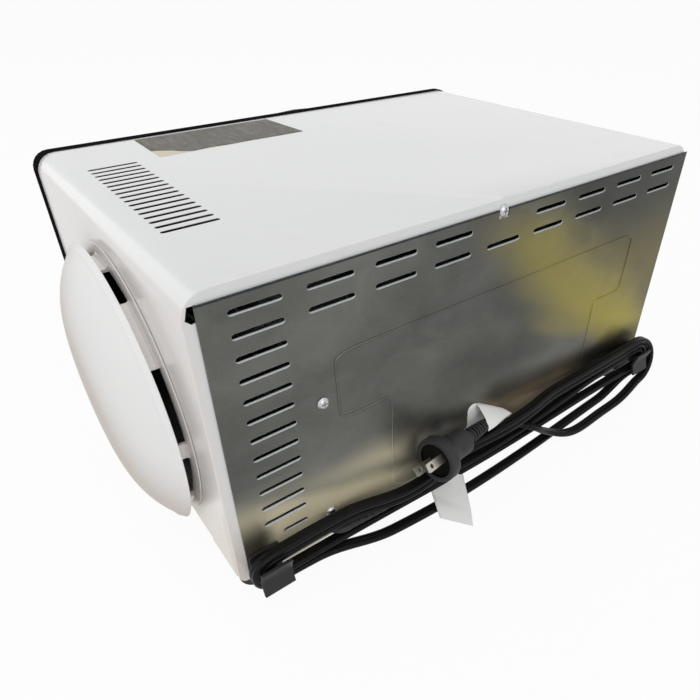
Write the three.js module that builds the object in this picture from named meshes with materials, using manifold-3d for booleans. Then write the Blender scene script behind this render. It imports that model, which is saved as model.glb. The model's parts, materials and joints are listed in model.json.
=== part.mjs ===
// Countertop convection oven. Millimetres, +Z up, the door faces -Y and the control side is +X.
// Pieces are drawn with the rear sheet's outer face at y = 0 and the floor at z = 0, and the
// whole group is then moved so that the origin is the middle of the footprint on the floor.
import * as THREE from 'three';
import { mergeVertices } from 'three/addons/utils/BufferGeometryUtils.js';
import Module from 'manifold-3d';

const wasm = await Module();
wasm.setup();

// Driving sizes of the body
const panelWide = 394; // rear sheet, side to side
const panelHigh = 193; // rear sheet, bottom to top
const bodyDeep = 272.3; // rear face to the back of the front frame
const frameDeep = 8.1; // front frame, the band that shows behind the front face
const footHigh = 14;
const lipHigh = 6.4; // painted shell above the rear sheet's top edge
const controlMargin = 6.4; // painted shell beyond the rear sheet on the control side
const plainMargin = 0.4; // and on the other side
const shellRadius = 14; // long top edges of the shell
const tuckRadius = 7; // its lower edges, which turn in
const tuckWide = 34; // how far the shell turns in under the body
const sheet = 0.8; // sheet metal
const gap = 0.3; // between touching pieces
const overrun = 2; // how far a cutting tool runs past a face

// Places that follow from them
const panelHalf = panelWide / 2;
const bodyLow = footHigh;
const panelTop = bodyLow + panelHigh;
const shellTop = panelTop + lipHigh;
const shellRight = panelHalf + controlMargin;
const shellLeft = -(panelHalf + plainMargin);
const frameBack = -bodyDeep;
const frameFront = frameBack - frameDeep;
const lipFace = -(sheet + gap);

// Cavity
const cavityInset = 11.4; // shell's plain side to the cavity
const controlBay = 96.4; // cavity to the shell's control side
const cavityLeft = shellLeft + cavityInset;
const cavityRight = shellRight - controlBay;
const cavityTop = 181; // underside of the ceiling
const cavityRear = -14; // inner face of the rear wall
const cavityFront = frameBack; // the walls end behind the frame
const panFloor = bodyLow + sheet + gap + sheet; // top face of the base pan
const panRim = 9;

// Vents of the rear sheet
const slotLong = 28.8;
const slotHigh = 3.6;
const slotColumns = 9;
const slotInset = 29; // sheet's side edges to the middle of the nearest slots
const slotPitchX = (panelWide - 2 * slotInset) / (slotColumns - 1);
const slotRows = 12;
const slotDrop = 8.6; // first row below the top edge
const slotFoot = 27.2; // last slot above the bottom edge
const slotPitchZ = (panelHigh - slotDrop - slotFoot) / slotRows;
const secondRowDrop = slotDrop + slotPitchZ;
const shortSlotShare = 0.6; // the last slot of the column against the others

// Vents of the top
const topSlots = 17;
const topSlotLong = 33.6;
const topSlotWide = 3.4;
const topSlotPitch = 8.4;
const topSlotRear = -74; // middle of the rearmost one
const topSlotInset = 37.4; // shell's side to the middle of each
const topSlotX = shellRight - topSlotInset;

// Fan cover on the control side
const coverBulge = 22.5;
const coverStand = 8.6; // shell side to the dish's rim
const coverWall = 2.2;
const coverPower = 3.87; // the dish is flat in the middle and falls steeply at its rim
const fanY = -123.1;
const fanZ = 100.7;
const neckRadius = 86;
const neckWall = 2;
const coverLap = 7.6; // dish beyond the neck
const flareWide = 7; // neck's flare on the shell
const coverSeat = 0.45; // neck to the dish's inner face
const coverRadius = neckRadius + coverLap;
const flareRadius = neckRadius + flareWide;
const flareThick = 1.6;
const wideVentShare = 31 / 360; // arcs of the neck that are open
const narrowVentShare = 20 / 360;
const wideVentAngles = [19, 161, 199, 341];
const narrowVentAngles = [72, 108, 252, 288];
const ventHigh = 5.8;
const ventMargin = 1;

// Door and handle
const doorInset = 3.4; // shell's plain side to the door
const doorLap = 7; // door beyond the cavity on the control side
const doorLeft = shellLeft + doorInset;
const doorRight = cavityRight + doorLap;
const doorThick = 14;
const doorLift = 33; // bottom of the door above the base of the body
const doorTopDrop = 7; // below the shell's top
const doorStandoff = 1.6; // frame face to the door's back
const railWide = 26;
const railHigh = 24;
const doorBandRadius = 10;
const glassThick = 4;
const glassLap = 6;
const handleSpan = 170;
const handleRise = 150; // radius of the bow
const handleStand = 25; // door face to the middle of the bar
const handleRadius = 6.5;
const handleDrop = 1.5; // bow's top below the rear sheet's top edge
const postRadius = 5;
const postMargin = 4; // posts above the window
const pinRadius = 2.5;
const pinLong = 12;
const earThick = 2.6;

// Front frame
const frameProudSide = 1.4;
const frameProudTop = 0.7;
const frameRadius = 13;
const frameDrop = 2; // its lower edge below the body
const spigotDeep = 9;
const spigotThick = 1.5;
const openingMargin = 2; // door opening against the cavity walls
const openingLow = 40;
const trayMouthLow = 17.4;
const trayMouthHigh = 30;
const trayTravel = 110; // how far the tray is drawn out

// Controls
const controlInset = 45.4; // shell's side to the knobs' middle
const controlX = shellRight - controlInset;
const knobHeights = [64, 116, 168];
const knobRadius = 18;
const knobLong = 17;
const knobGripShare = 0.72; // the grip's radius against the skirt's
const knobSkirt = 4;
const knobShaft = 3;
const knobReach = 24; // shaft behind the knob
const controlPlateThick = 1.4;
const controlPlateMargin = 4;
const controlPlateWide = 78;
const controlPlateLow = 25;
const controlPlateTop = 205;
const lampZ = 195;
const lampRadius = 3.5;
const lampProud = 2;
const lampBack = 16;

// Heating elements, rack, pan and crumb tray
const elementRadius = 3.5;
const elementCap = 5.5; // radius of the ceramic ends
const capLong = 6;
const elementLow = 48;
const elementHigh = 166;
const elementFront = -205;
const elementRear = -75;
const rackLevel = 84; // middle of the rack's rim wire
const rackWire = 2;
const rackBarWire = 1.3;
const rackBars = 13;
const wireSides = 8;
const rackEndGap = 6; // rack against the cavity's front and rear
const runnerWide = 7;
const runnerThick = 1;
const runnerHigh = 8;
const bakeInset = 14;
const bakeDeepInset = 16;
const bakeHigh = 18;
const bakeWall = 1;
const trayWall = 0.8;
const trayRim = 8;
const trayLipHigh = 16;
const trayLipDeep = 9;
const traySideGap = 3;

// Fan and motor
const shaftRadius = 2.5;
const housingRadius = 54; // round hole in the wall and the cup behind it
const housingFlange = 7;
const housingDeep = 16;
const guardSlots = 14;
const guardSlotWide = 4;
const bladeClear = 6; // blades' tips to the cup
const bladeRadius = housingRadius - bladeClear;
const bladeCount = 8;
const bladeDeep = 9;
const bladeStand = 3.2; // cup's bottom to the blade's back plate
const hubRadius = 8;
const bracketStand = 9; // cup to the motor bracket
const bracketWide = 76;
const bracketHigh = 70;
const bracketThick = 1.6;
const standoffRadius = 3.5;
const coreThick = 17;
const coreWide = 62;
const coreUp = 26; // core above the shaft
const coreDown = 40; // core below the shaft
const boreRadius = 14;
const airGap = 0.6;
const limbHigh = 12;
const windowHigh = 8;
const windowWide = 34;
const coilWide = 26;
const coolerRadius = 34;
const coolerThick = 2;
const coolerStand = 8; // core to the cooling blades

// Feet and screws
const footRadius = 9;
const footTopRadius = 10.5;
const footInset = 13;
const screwHead = 4;
const screwHeadHigh = 2;
const screwShank = 1.7;
const screwLong = 8;
const screwSlot = 0.8;
const screwFit = 0.4; // hole beyond the shank's radius
const screwCrownShares = [0.92, 0.6]; // head's radius half way up and at its top
const screwInsets = [60.7, 60.3]; // from the rear sheet's side edge, upper and lower
const screwHeights = [124.7, 35.6];
const [upperScrew, lowerScrew] = screwInsets.map((inset, i) => [panelHalf - inset, screwHeights[i]]);
const tabX = 2;
const tabRadius = 8.5;
const tabDrop = 1.3; // middle of the tab below the sheet's top edge

// Cord cleats at the rear sheet's lower corners
const cleatInset = 11; // from the rear sheet's side edges
const cleatX = panelHalf - cleatInset;
const cleatZ = 27;
const cleatWide = 20.5;
const cleatHigh = 19.5;
const cleatStand = 19; // rear sheet to the flange's outer face
const cleatBase = 2;
const cleatBaseDrop = 5; // how far the base reaches below the flange
const cleatFlange = 2;
const cleatDish = 3; // how far the flange's middle lies behind its edges
const cleatNeck = 4;
const pegRadius = 3;

// Cord: flat, two cores side by side, wound two and a half times round the cleats
const cordWide = 8;
const cordThick = 4.5;
const layer = 5.1; // one turn of the cord on the next
const cordY = 9; // middle of the turns behind the rear sheet
const rightTurnRadius = 9; // first bend at the far cleat
const leftTurnRadius = 6.9; // first bend at the control side's cleat
const outletBack = 58; // cleat to the mouth of the cord outlet
const outletX = cleatX - outletBack;
const outletLong = 24;
const outletWall = 1.4;
const outletStub = 4.3;
const outletBlend = 45; // length in which the first run joins its layer
const firstSag = 12.5; // first upper run, in the middle
const runSag = 5.5; // the other upper runs, by the plug
const sagMiddle = 65;
const sagHalf = 95;
const dipMiddle = 80; // on the control side of the plug all upper runs come lower
const dipHalf = 50;
const firstDip = 1.3;
const runDip = 2.2;
const dipBow = 5; // and the later ones stand out over the first
const tuckBow = 5.2; // the same runs stand out where the free end is tucked behind them
const tuckMiddle = -20;
const tuckHalf = 55;
const lowerSag = 4.5; // first lower run, in the middle
const fallHold = 31; // straight part of the second lower run by the control side's cleat
const fallLong = 58; // length in which it then comes down to the floor
const farHold = 6; // the same by the far cleat
const farLong = 40;
const floorRise = 2.7; // middle of a cord that lies on the floor
const floorBow = 9; // how far the floor run swings out from the rear sheet
const bowMiddle = 30;
const bowNear = 150; // its reach to the control side
const bowFar = 215; // and to the other
const lastSwing = 9; // how far the last bend leaves the turns' plane
const endSlope = [1.4, -0.8]; // y and z in the winding's last stretch
const windingTurns = 3;
const runSteps = 12;
const bendSteps = 8;
const windingSides = 6;
const gapSamples = 16;
const tailSides = 8;
const tailSteps = 46;

// Plug, along its own axis from the boot's end
const plugAt = [9.9, 11, 50.2];
const plugAim = [0.982, 0.17, 0.08];
const plugRoll = 45; // degrees about its own axis
const bootLong = 19;
const bootSmall = 4.4;
const bootLarge = 6;
const gripLong = 28;
const gripWide = 9.5;
const guardDiscRadius = 16;
const guardDiscLong = 11;
const bladeLong = 17;
const bladeHigh = 6.4;
const bladeThick = 1.5;
const bladePitch = 12.7;
const bladeHole = 1.6;
const bladeHoleBack = 4.5; // hole from the blade's tip
const recessRadius = 12.4;
const recessDeep = 3;

// Paper tag hung on the cord by the plug, behind the turns; points chosen by hand. Its upper
// part is flat on the rear sheet, x and z, and its tail comes out below the turns.
const tagWide = 26;
const tagThick = 0.4;
const tagSteps = 24;
const tagLeaf = [[27, 56], [13, 66.6], [-9, 54.4], [-31, 36.5], [-31, 27], [16, 29]];
const tagPoints = [
  [21, 0.5, 50], [29, 0.5, 42], [34.5, 0.6, 31], [37, 1.3, 20.5], [38.2, 4.3, 12.6], [40, 9.6, 9.6],
  [43, 16.3, 8.4], [46.8, 23, 6.8], [51, 29.2, 4.4], [56.3, 34.8, 2.4],
];

// Counts of facets
const roundSides = 24;
const smallSides = 12;
const cornerSteps = 6;
const dishSteps = 10;
const slotSteps = 4;

// Flat outlines, as lists of points
const point = (x, y) => new THREE.Vector2(x, y);

function circle(x, y, radius, sides = roundSides) {
  const turn = (2 * Math.PI) / sides;
  return Array.from({ length: sides }, (_, i) =>
    point(x + radius * Math.cos(i * turn), y + radius * Math.sin(i * turn)));
}

function arc(x, y, radius, from, to, steps = cornerSteps) {
  return Array.from({ length: steps + 1 }, (_, i) => {
    const angle = from + ((to - from) * i) / steps;
    return point(x + radius * Math.cos(angle), y + radius * Math.sin(angle));
  });
}

function corner(x, y, toX, toY, radius, quarter, steps) {
  if (radius <= 0) return [point(x, y)];
  const start = (quarter * Math.PI) / 2;
  return arc(x - toX * radius, y - toY * radius, radius, start, start + Math.PI / 2, steps);
}

// Rectangle whose two upper and two lower corners each have a radius
function roundedBox(left, low, right, high, upper = 0, lower = upper, steps = cornerSteps) {
  return [
    ...corner(right, high, 1, 1, upper, 0, steps),
    ...corner(left, high, -1, 1, upper, 1, steps),
    ...corner(left, low, -1, -1, lower, 2, steps),
    ...corner(right, low, 1, -1, lower, 3, steps),
  ];
}

// Slot with round ends, its length along the first axis
function slot(x, y, length, width, steps = slotSteps) {
  const half = length / 2 - width / 2;
  return [
    ...arc(x + half, y, width / 2, -Math.PI / 2, Math.PI / 2, steps),
    ...arc(x - half, y, width / 2, Math.PI / 2, 1.5 * Math.PI, steps),
  ];
}

function shape(outline, ...holes) {
  const made = new THREE.Shape(outline);
  holes.forEach((hole) => made.holes.push(new THREE.Path(hole)));
  return made;
}

// Straight solids from an outline: x and y along Z, x and z along Y, y and z along X
function extrude(outline, from, to, axes) {
  const made = new THREE.ExtrudeGeometry(outline, { depth: to - from, bevelEnabled: false });
  made.translate(0, 0, from);
  if (axes) made.applyMatrix4(axes);
  return made;
}

const unitX = new THREE.Vector3(1, 0, 0);
const unitY = new THREE.Vector3(0, 1, 0);
const unitZ = new THREE.Vector3(0, 0, 1);
const axesX = new THREE.Matrix4().makeBasis(unitY, unitZ, unitX);
const axesY = new THREE.Matrix4().makeBasis(unitX, unitZ, unitY.clone().negate());
const alongX = (outline, from, to) => extrude(outline, from, to, axesX);
const alongY = (outline, from, to) => extrude(outline, -to, -from, axesY);
const alongZ = (outline, from, to) => extrude(outline, from, to);

// Round solid about the Y axis; the profile may be given in either direction
function turned(profile, sides) {
  const points = profile.map(([r, along]) => point(r, along));
  const area = THREE.ShapeUtils.area(points);
  return new THREE.LatheGeometry(area < 0 ? points.reverse() : points, sides);
}

// Round solid about a line through (y, z) along X, from points (distance from it, x)
function turnedX(profile, y, z, sides = roundSides) {
  const made = turned(profile, sides);
  made.applyMatrix4(new THREE.Matrix4().makeBasis(unitY, unitX, unitZ.clone().negate()));
  return made.translate(0, y, z);
}

// The same about a line through (x, z) along Y, points (distance from it, y)
function turnedY(profile, x, z, sides = roundSides) {
  return turned(profile, sides).translate(x, 0, z);
}

// Closed geometry to a solid that can be cut and joined, and back
function solid(geometry) {
  const bare = geometry.clone();
  Object.keys(bare.attributes).forEach((name) => {
    if (name !== 'position') bare.deleteAttribute(name);
  });
  const merged = mergeVertices(bare);
  const corners = merged.index.array;
  const triangles = [];
  for (let i = 0; i < corners.length; i += 3) {
    const [a, b, c] = [corners[i], corners[i + 1], corners[i + 2]];
    if (a !== b && b !== c && c !== a) triangles.push(a, b, c);
  }
  return new wasm.Manifold(new wasm.Mesh({
    numProp: 3,
    vertProperties: new Float32Array(merged.attributes.position.array),
    triVerts: new Uint32Array(triangles),
  }));
}

function geometryOf(body) {
  const mesh = body.getMesh();
  const made = new THREE.BufferGeometry();
  made.setAttribute('position', new THREE.BufferAttribute(new Float32Array(mesh.vertProperties), 3));
  made.setIndex(new THREE.BufferAttribute(new Uint32Array(mesh.triVerts), 1));
  return made;
}

const join = (first, ...others) => others.reduce((body, other) => body.add(solid(other)), solid(first));
const cut = (body, ...tools) => tools.reduce((left, tool) => left.subtract(solid(tool)), body);

// Finishes
const finish = (color, roughness, metalness) =>
  new THREE.MeshStandardMaterial({ color, roughness, metalness });
const whitePaint = () => finish(0xe9e7e8, 0.25, 0);
const galvanised = () => finish(0x8d918f, 0.42, 0.9);
const blackPlastic = () => finish(0x1c1b1d, 0.5, 0);
const blackPaint = () => finish(0x141315, 0.35, 0.1);
const steel = () => finish(0xa8aaac, 0.35, 0.95);
const darkSteel = () => finish(0x55575a, 0.45, 0.9);
const glass = () => finish(0x2b2f31, 0.08, 0);
const ceramic = () => finish(0xe4dfd2, 0.7, 0);
const quartz = () => finish(0xd9d4cb, 0.3, 0);
const amber = () => finish(0xc8501e, 0.2, 0);
const copper = () => finish(0x9a5a34, 0.4, 0.8);
const paper = () => finish(0xf2f1ee, 0.85, 0);

const oven = new THREE.Group();
const body = new THREE.Group();
oven.add(body);

function add(name, made, material, parent = body) {
  const geometry = made.isBufferGeometry ? made : geometryOf(made);
  const mesh = new THREE.Mesh(geometry, material);
  mesh.name = name;
  parent.add(mesh);
  return mesh;
}

// Painted shell: top and sides in one bent sheet, turned in below, with a lip round the rear
const shellOutline = (inset) => roundedBox(
  shellLeft + inset, bodyLow + inset, shellRight - inset, shellTop - inset,
  shellRadius - inset, tuckRadius - inset);

function topVents() {
  return Array.from({ length: topSlots }, (_, i) => alongZ(
    shape(slot(topSlotX, topSlotRear - i * topSlotPitch, topSlotLong, topSlotWide)),
    shellTop - shellRadius, shellTop + overrun));
}

// The lip leaves a dark three-cornered gap beside the rear sheet's top corner. Its corners are
// shares of half the margin, across, and of the lip, down.
const notchShares = [[0, 0], [0, 1.3], [1, 1.4], [1.9, 1], [1.3, 0]];

function cornerNotch() {
  const wide = controlMargin / 2;
  const outline = notchShares.map(([across, down]) =>
    point(panelHalf + (across - 1 / 2) * wide, panelTop - down * lipHigh));
  return alongY(shape(outline), lipFace - sheet - overrun, lipFace + overrun);
}

function outerShell() {
  const walls = alongY(shape(shellOutline(0), shellOutline(sheet)), frameBack, lipFace);
  const lip = alongY(shape(shellOutline(0), shellOutline(2 * lipHigh)), lipFace - sheet, lipFace);
  const tab = alongY(shape(circle(tabX, panelTop - tabDrop, tabRadius)), lipFace - sheet, lipFace);
  const mouth = alongY(shape(roundedBox(
    shellLeft + tuckWide, bodyLow - overrun, shellRight - tuckWide, bodyLow + 2 * lipHigh + overrun)),
  frameBack - overrun, lipFace + overrun);
  const coverHole = alongX(
    shape(circle(fanY, fanZ, neckRadius - neckWall / 2 + gap, 2 * roundSides)),
    shellRight - shellRadius, shellRight + overrun);
  const tabScrewHole = alongY(
    shape(circle(tabX, panelTop - tabDrop, screwShank + screwFit, smallSides)),
    lipFace - sheet - overrun, lipFace + overrun);
  add('outer_shell', cut(join(walls, lip, tab), mouth, coverHole, cornerNotch(), tabScrewHole,
    ...topVents()), whitePaint());
}

// Rear sheet: rows of slots along the top, a column of them at the control side, and a notch
// in its top edge for the shell's tab
function rearSlots() {
  const first = ((slotColumns - 1) / 2) * slotPitchX;
  const made = [];
  const put = (x, drop, length) => made.push(slot(x, panelTop - drop, length, slotHigh));
  for (let column = 0; column < slotColumns; column += 1) {
    const x = first - column * slotPitchX;
    if (column !== (slotColumns - 1) / 2) put(x, slotDrop, slotLong);
    put(x, secondRowDrop, slotLong);
  }
  for (let row = 2; row < slotRows; row += 1) put(first, slotDrop + row * slotPitchZ, slotLong);
  const short = slotLong * shortSlotShare;
  put(first - (slotLong - short) / 2, slotDrop + slotRows * slotPitchZ, short);
  return made;
}

const holeAt = ([x, z], radius) => circle(x, z, radius, smallSides);
const cleatPlaces = { control_side: cleatX, plain_side: -cleatX };

function rearPanel() {
  const holes = [
    ...rearSlots(),
    holeAt(upperScrew, screwShank + screwFit),
    holeAt(lowerScrew, screwShank + screwFit),
    holeAt([outletX + outletLong / 2, cleatZ], outletStub + gap),
    ...Object.values(cleatPlaces).map((x) => holeAt([x, cleatZ], pegRadius + gap)),
  ];
  const plate = alongY(shape(
    roundedBox(-panelHalf, bodyLow, panelHalf, panelTop), ...holes), -sheet, 0);
  const notch = alongY(shape(roundedBox(
    tabX - screwHead - gap, panelTop - tabDrop - screwHead, tabX + screwHead + gap, panelTop + overrun)),
  -sheet - overrun, overrun);
  add('rear_panel', cut(solid(plate), notch), galvanised());
}

// Base pan: a shallow tray on the shell's turned-in edges
function basePan() {
  const left = shellLeft + sheet + gap;
  const right = shellRight - sheet - gap;
  const low = bodyLow + sheet + gap;
  const rear = lipFace - sheet - gap;
  const outer = alongZ(shape(roundedBox(left + tuckRadius, frameBack + spigotDeep + gap,
    right - tuckRadius, rear)), low, low + panRim);
  const hollow = alongZ(shape(roundedBox(left + tuckRadius + sheet, frameBack - overrun,
    right - tuckRadius - sheet, rear - sheet)), panFloor, low + panRim + overrun);
  add('base_pan', cut(solid(outer), hollow), galvanised());
}

// Front frame: the black band round the front, with the door opening and the crumb tray's mouth
const frameLeft = shellLeft - frameProudSide;
const frameRight = shellRight + frameProudSide;
const frameTop = shellTop + frameProudTop;
const frameLow = bodyLow - frameDrop;
const doorBack = frameFront - doorStandoff;
const doorFace = doorBack - doorThick;
const doorLow = bodyLow + doorLift - doorThick / 2;
const hingeY = doorBack - doorThick / 2;
const hingeZ = doorLow + doorThick / 2;
const doorTop = shellTop - doorTopDrop;
const shaftHole = knobShaft + gap;

function frontFrame() {
  const opening = roundedBox(cavityLeft + openingMargin, openingLow, cavityRight - openingMargin,
    cavityTop - openingMargin, openingMargin);
  const trayMouth = roundedBox(cavityLeft + openingMargin, trayMouthLow,
    cavityRight - openingMargin, trayMouthHigh);
  const holes = knobHeights.map((z) => circle(controlX, z, shaftHole, smallSides));
  const lampHole = circle(controlX, lampZ, lampRadius + gap, smallSides);
  const plate = alongY(shape(
    roundedBox(frameLeft, frameLow, frameRight, frameTop, frameRadius),
    opening, trayMouth, lampHole, ...holes), frameFront, frameBack - gap);
  const spigot = alongY(shape(
    shellOutline(sheet + gap), shellOutline(sheet + gap + spigotThick)),
  frameBack - gap - openingMargin, frameBack + spigotDeep);
  const spigotGate = alongY(
    shape(roundedBox(cavityLeft - 2 * openingMargin, bodyLow,
      cavityRight + 2 * openingMargin, wallLow + openingMargin)),
    frameBack - gap, frameBack + spigotDeep + overrun);
  const ears = [doorLeft - gap - earThick, doorRight + gap].map((x) => alongX(
    shape(roundedBox(hingeY - doorThick / 2, hingeZ - doorThick / 2,
      frameFront + openingMargin, hingeZ + doorThick / 2)), x, x + earThick));
  const pinHoles = [doorLeft, doorRight].map((x) => alongX(
    shape(circle(hingeY, hingeZ, pinRadius + gap, smallSides)),
    x - earThick - overrun, x + earThick + overrun));
  add('front_frame', cut(join(plate, spigot, ...ears), spigotGate, ...pinHoles), blackPaint());
}

// Cavity: four walls of bright sheet, seated on the base pan and under one another
const wallLow = panFloor + gap;
const wallTop = cavityTop - gap;
const elementPlaces = {
  lower_front: [elementFront, elementLow],
  lower_rear: [elementRear, elementLow],
  upper_front: [elementFront, elementHigh],
  upper_rear: [elementRear, elementHigh],
};
const elementHoles = () => Object.values(elementPlaces).map(
  ([y, z]) => circle(y, z, elementRadius + gap, smallSides));

function cavityWalls() {
  const rear = cavityRear - gap;
  const side = (...holes) => shape(roundedBox(cavityFront, wallLow, rear, wallTop), ...holes);
  const runner = (x) => alongX(shape(roundedBox(
    cavityFront + rackEndGap, rackLevel - rackWire - gap - runnerThick,
    rear - rackEndGap, rackLevel - rackWire - gap)), x, x + runnerWide);
  const runnerStop = (x) => alongX(shape(roundedBox(
    cavityFront + rackEndGap, rackLevel - rackWire - gap - runnerThick,
    rear - rackEndGap, rackLevel - rackWire - gap - runnerThick + runnerHigh)), x, x + runnerThick);
  const stopX = runnerThick;
  add('cavity_left_wall', join(
    alongX(side(...elementHoles()), cavityLeft - sheet, cavityLeft),
    runner(cavityLeft - sheet / 2), runnerStop(cavityLeft - sheet / 2)), galvanised());
  const rightRunner = cavityRight - runnerWide + sheet / 2;
  add('cavity_right_wall', join(
    alongX(side(...elementHoles(), circle(fanY, fanZ, housingRadius, 2 * roundSides)),
      cavityRight, cavityRight + sheet),
    runner(rightRunner), runnerStop(cavityRight + sheet / 2 - stopX)), galvanised());
  add('cavity_ceiling', alongZ(shape(roundedBox(
    cavityLeft - sheet, cavityFront, cavityRight + sheet, rear)), cavityTop, cavityTop + sheet),
  galvanised());
  add('cavity_rear_wall', alongY(shape(roundedBox(
    cavityLeft - sheet, wallLow, cavityRight + sheet, cavityTop + sheet)),
  cavityRear, cavityRear + sheet), galvanised());
}

// Heating elements: a rod through both side walls with a ceramic cap on each end
function heatingElements() {
  const reach = capLong + sheet + gap;
  Object.entries(elementPlaces).forEach(([place, [y, z]]) => {
    const rod = [
      [0, cavityLeft - reach], [elementCap, cavityLeft - reach],
      [elementCap, cavityLeft - sheet - gap], [elementRadius, cavityLeft - sheet - gap],
      [elementRadius, cavityRight + sheet + gap], [elementCap, cavityRight + sheet + gap],
      [elementCap, cavityRight + reach], [0, cavityRight + reach],
    ];
    add(`heating_element_${place}`, turnedX(rod, y, z, smallSides), quartz());
  });
}

// Wire rack on the side walls' runners
const rackFront = cavityFront + 2 * rackEndGap;
const rackRear = cavityRear - rackEndGap;

function wireRack() {
  const left = cavityLeft + openingMargin + gap + rackWire;
  const right = cavityRight - openingMargin - gap - rackWire;
  const bar = (axis, a, b, from, to, radius) => axis(shape(circle(a, b, radius, wireSides)), from, to);
  const rims = [left, right].map((x) => bar(
    (outline, from, to) => alongY(outline, from, to), x, rackLevel, rackFront, rackRear, rackWire));
  const ends = [rackFront + rackWire, rackRear - rackWire].map((y) => bar(
    alongX, y, rackLevel, left, right, rackWire));
  const pitch = (right - left) / (rackBars + 1);
  const bars = Array.from({ length: rackBars }, (_, i) => bar(
    (outline, from, to) => alongY(outline, from, to), left + (i + 1) * pitch, rackLevel,
    rackFront + rackWire, rackRear - rackWire, rackBarWire));
  add('wire_rack', join(...rims, ...ends, ...bars), steel());
}

// Baking pan that stands on the rack
function bakePan() {
  const low = rackLevel + rackBarWire + gap;
  const inset = (extra) => roundedBox(
    cavityLeft + bakeInset + extra, rackFront + bakeDeepInset + extra,
    cavityRight - bakeInset - extra, rackRear - bakeDeepInset - extra, bakeDeepInset - extra);
  add('bake_pan', cut(solid(alongZ(shape(inset(0)), low, low + bakeHigh)),
    alongZ(shape(inset(bakeWall)), low + bakeWall, low + bakeHigh + overrun)), darkSteel());
}

// Crumb tray on the base pan, drawn out below the door by its lip
function crumbTray() {
  const low = panFloor + gap;
  const left = cavityLeft + openingMargin + traySideGap;
  const right = cavityRight - openingMargin - traySideGap;
  const rear = cavityRear - traySideGap;
  const lipBack = frameFront - gap;
  const floor = low + trayMouthLow - bodyLow;
  const tray = alongZ(shape(roundedBox(left, lipBack - trayWall, right, rear)), floor, floor + trayRim);
  const hollow = alongZ(
    shape(roundedBox(left + trayWall, frameBack, right - trayWall, rear - trayWall)),
    floor + trayWall, floor + trayRim + overrun);
  const skids = [left, right - 2 * traySideGap].map((x) => alongZ(shape(roundedBox(
    x, frameBack + trayTravel + spigotDeep, x + 2 * traySideGap, rear)), low, floor + trayWall));
  const lip = alongY(
    shape(roundedBox(cavityLeft - openingMargin, trayMouthLow - openingMargin,
      cavityRight + openingMargin, trayMouthLow - openingMargin + trayLipHigh)),
    lipBack - 2 * trayWall, lipBack);
  const pull = alongZ(shape(roundedBox(
    cavityLeft + trayLipHigh, lipBack - trayLipDeep, cavityRight - trayLipHigh, lipBack)),
  trayMouthLow - openingMargin, trayMouthLow - openingMargin + 2 * trayWall);
  add('crumb_tray', cut(join(tray, lip, pull, ...skids), hollow), steel());
}

const doorMiddle = (doorLeft + doorRight) / 2;
const handleY = doorFace - handleStand;
const handleTop = panelTop - handleDrop;
const handleCentre = handleTop - handleRadius - handleRise;
const handleReach = Math.asin(handleSpan / 2 / handleRise);
const windowTop = handleCentre + handleRise * Math.cos(handleReach) - postRadius - postMargin;

// Door: black frame hung on two pins at its foot, a pane held in its back, a bowed handle
function doorFrame() {
  const window = roundedBox(doorLeft + railWide, doorLow + railHigh, doorRight - railWide,
    windowTop, doorBandRadius);
  const slab = alongY(shape(roundedBox(doorLeft, hingeZ, doorRight, doorTop, doorThick / 2, 0), window),
    doorFace, doorBack);
  const foot = alongX(shape(circle(hingeY, hingeZ, doorThick / 2)), doorLeft, doorRight);
  const rebate = alongY(shape(roundedBox(
    doorLeft + railWide - glassLap, doorLow + railHigh - glassLap, doorRight - railWide + glassLap,
    windowTop + glassLap)), doorBack - glassThick - gap, doorBack + overrun);
  const bores = [doorLeft, doorRight].map((x) => alongX(
    shape(circle(hingeY, hingeZ, pinRadius + gap, smallSides)), x - pinLong, x + pinLong));
  add('door_frame', cut(join(slab, foot), rebate, ...bores), blackPaint());
}

function doorGlass() {
  const margin = glassLap - gap;
  add('door_glass', alongY(shape(roundedBox(
    doorLeft + railWide - margin, doorLow + railHigh - margin, doorRight - railWide + margin,
    windowTop + margin)), doorBack - glassThick, doorBack), glass());
}

function doorHandle() {
  const path = new THREE.CatmullRomCurve3(
    arc(doorMiddle, handleCentre, handleRise, Math.PI / 2 - handleReach, Math.PI / 2 + handleReach,
      2 * cornerSteps)
      .map(({ x, y }) => new THREE.Vector3(x, handleY, y)));
  const bar = new THREE.ExtrudeGeometry(shape(circle(0, 0, handleRadius, smallSides)),
    { steps: smallSides, extrudePath: path, bevelEnabled: false });
  const ends = [0, 1].map((share) => path.getPoint(share));
  const knuckles = ends.map(({ x, z }) => new THREE.SphereGeometry(handleRadius, smallSides, smallSides / 2)
    .translate(x, handleY, z));
  const posts = ends.map(({ x, z }) => alongY(
    shape(circle(x, z, postRadius, smallSides)), handleY, doorFace - gap));
  add('door_handle', join(bar, ...knuckles, ...posts), blackPlastic());
}

function hingePins() {
  Object.entries({ left: doorLeft - earThick - gap, right: doorRight + earThick + gap - pinLong })
    .forEach(([side, x]) => add(`hinge_pin_${side}`,
      alongX(shape(circle(hingeY, hingeZ, pinRadius, smallSides)), x, x + pinLong), steel()));
}

// Control plate, three knobs with the devices that they turn, and the pilot lamp
const plateBack = frameFront - gap;
const plateFace = plateBack - controlPlateThick;

function controlPanel() {
  const half = controlPlateWide / 2;
  const left = Math.max(controlX - half, doorRight + earThick + controlPlateMargin / 2);
  const holes = knobHeights.map((z) => circle(controlX, z, shaftHole, smallSides));
  add('control_panel', alongY(shape(roundedBox(
    left, controlPlateLow, controlX + half, controlPlateTop, controlPlateMargin),
  circle(controlX, lampZ, lampRadius + gap, smallSides), ...holes), plateFace, plateBack), steel());
}

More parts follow.
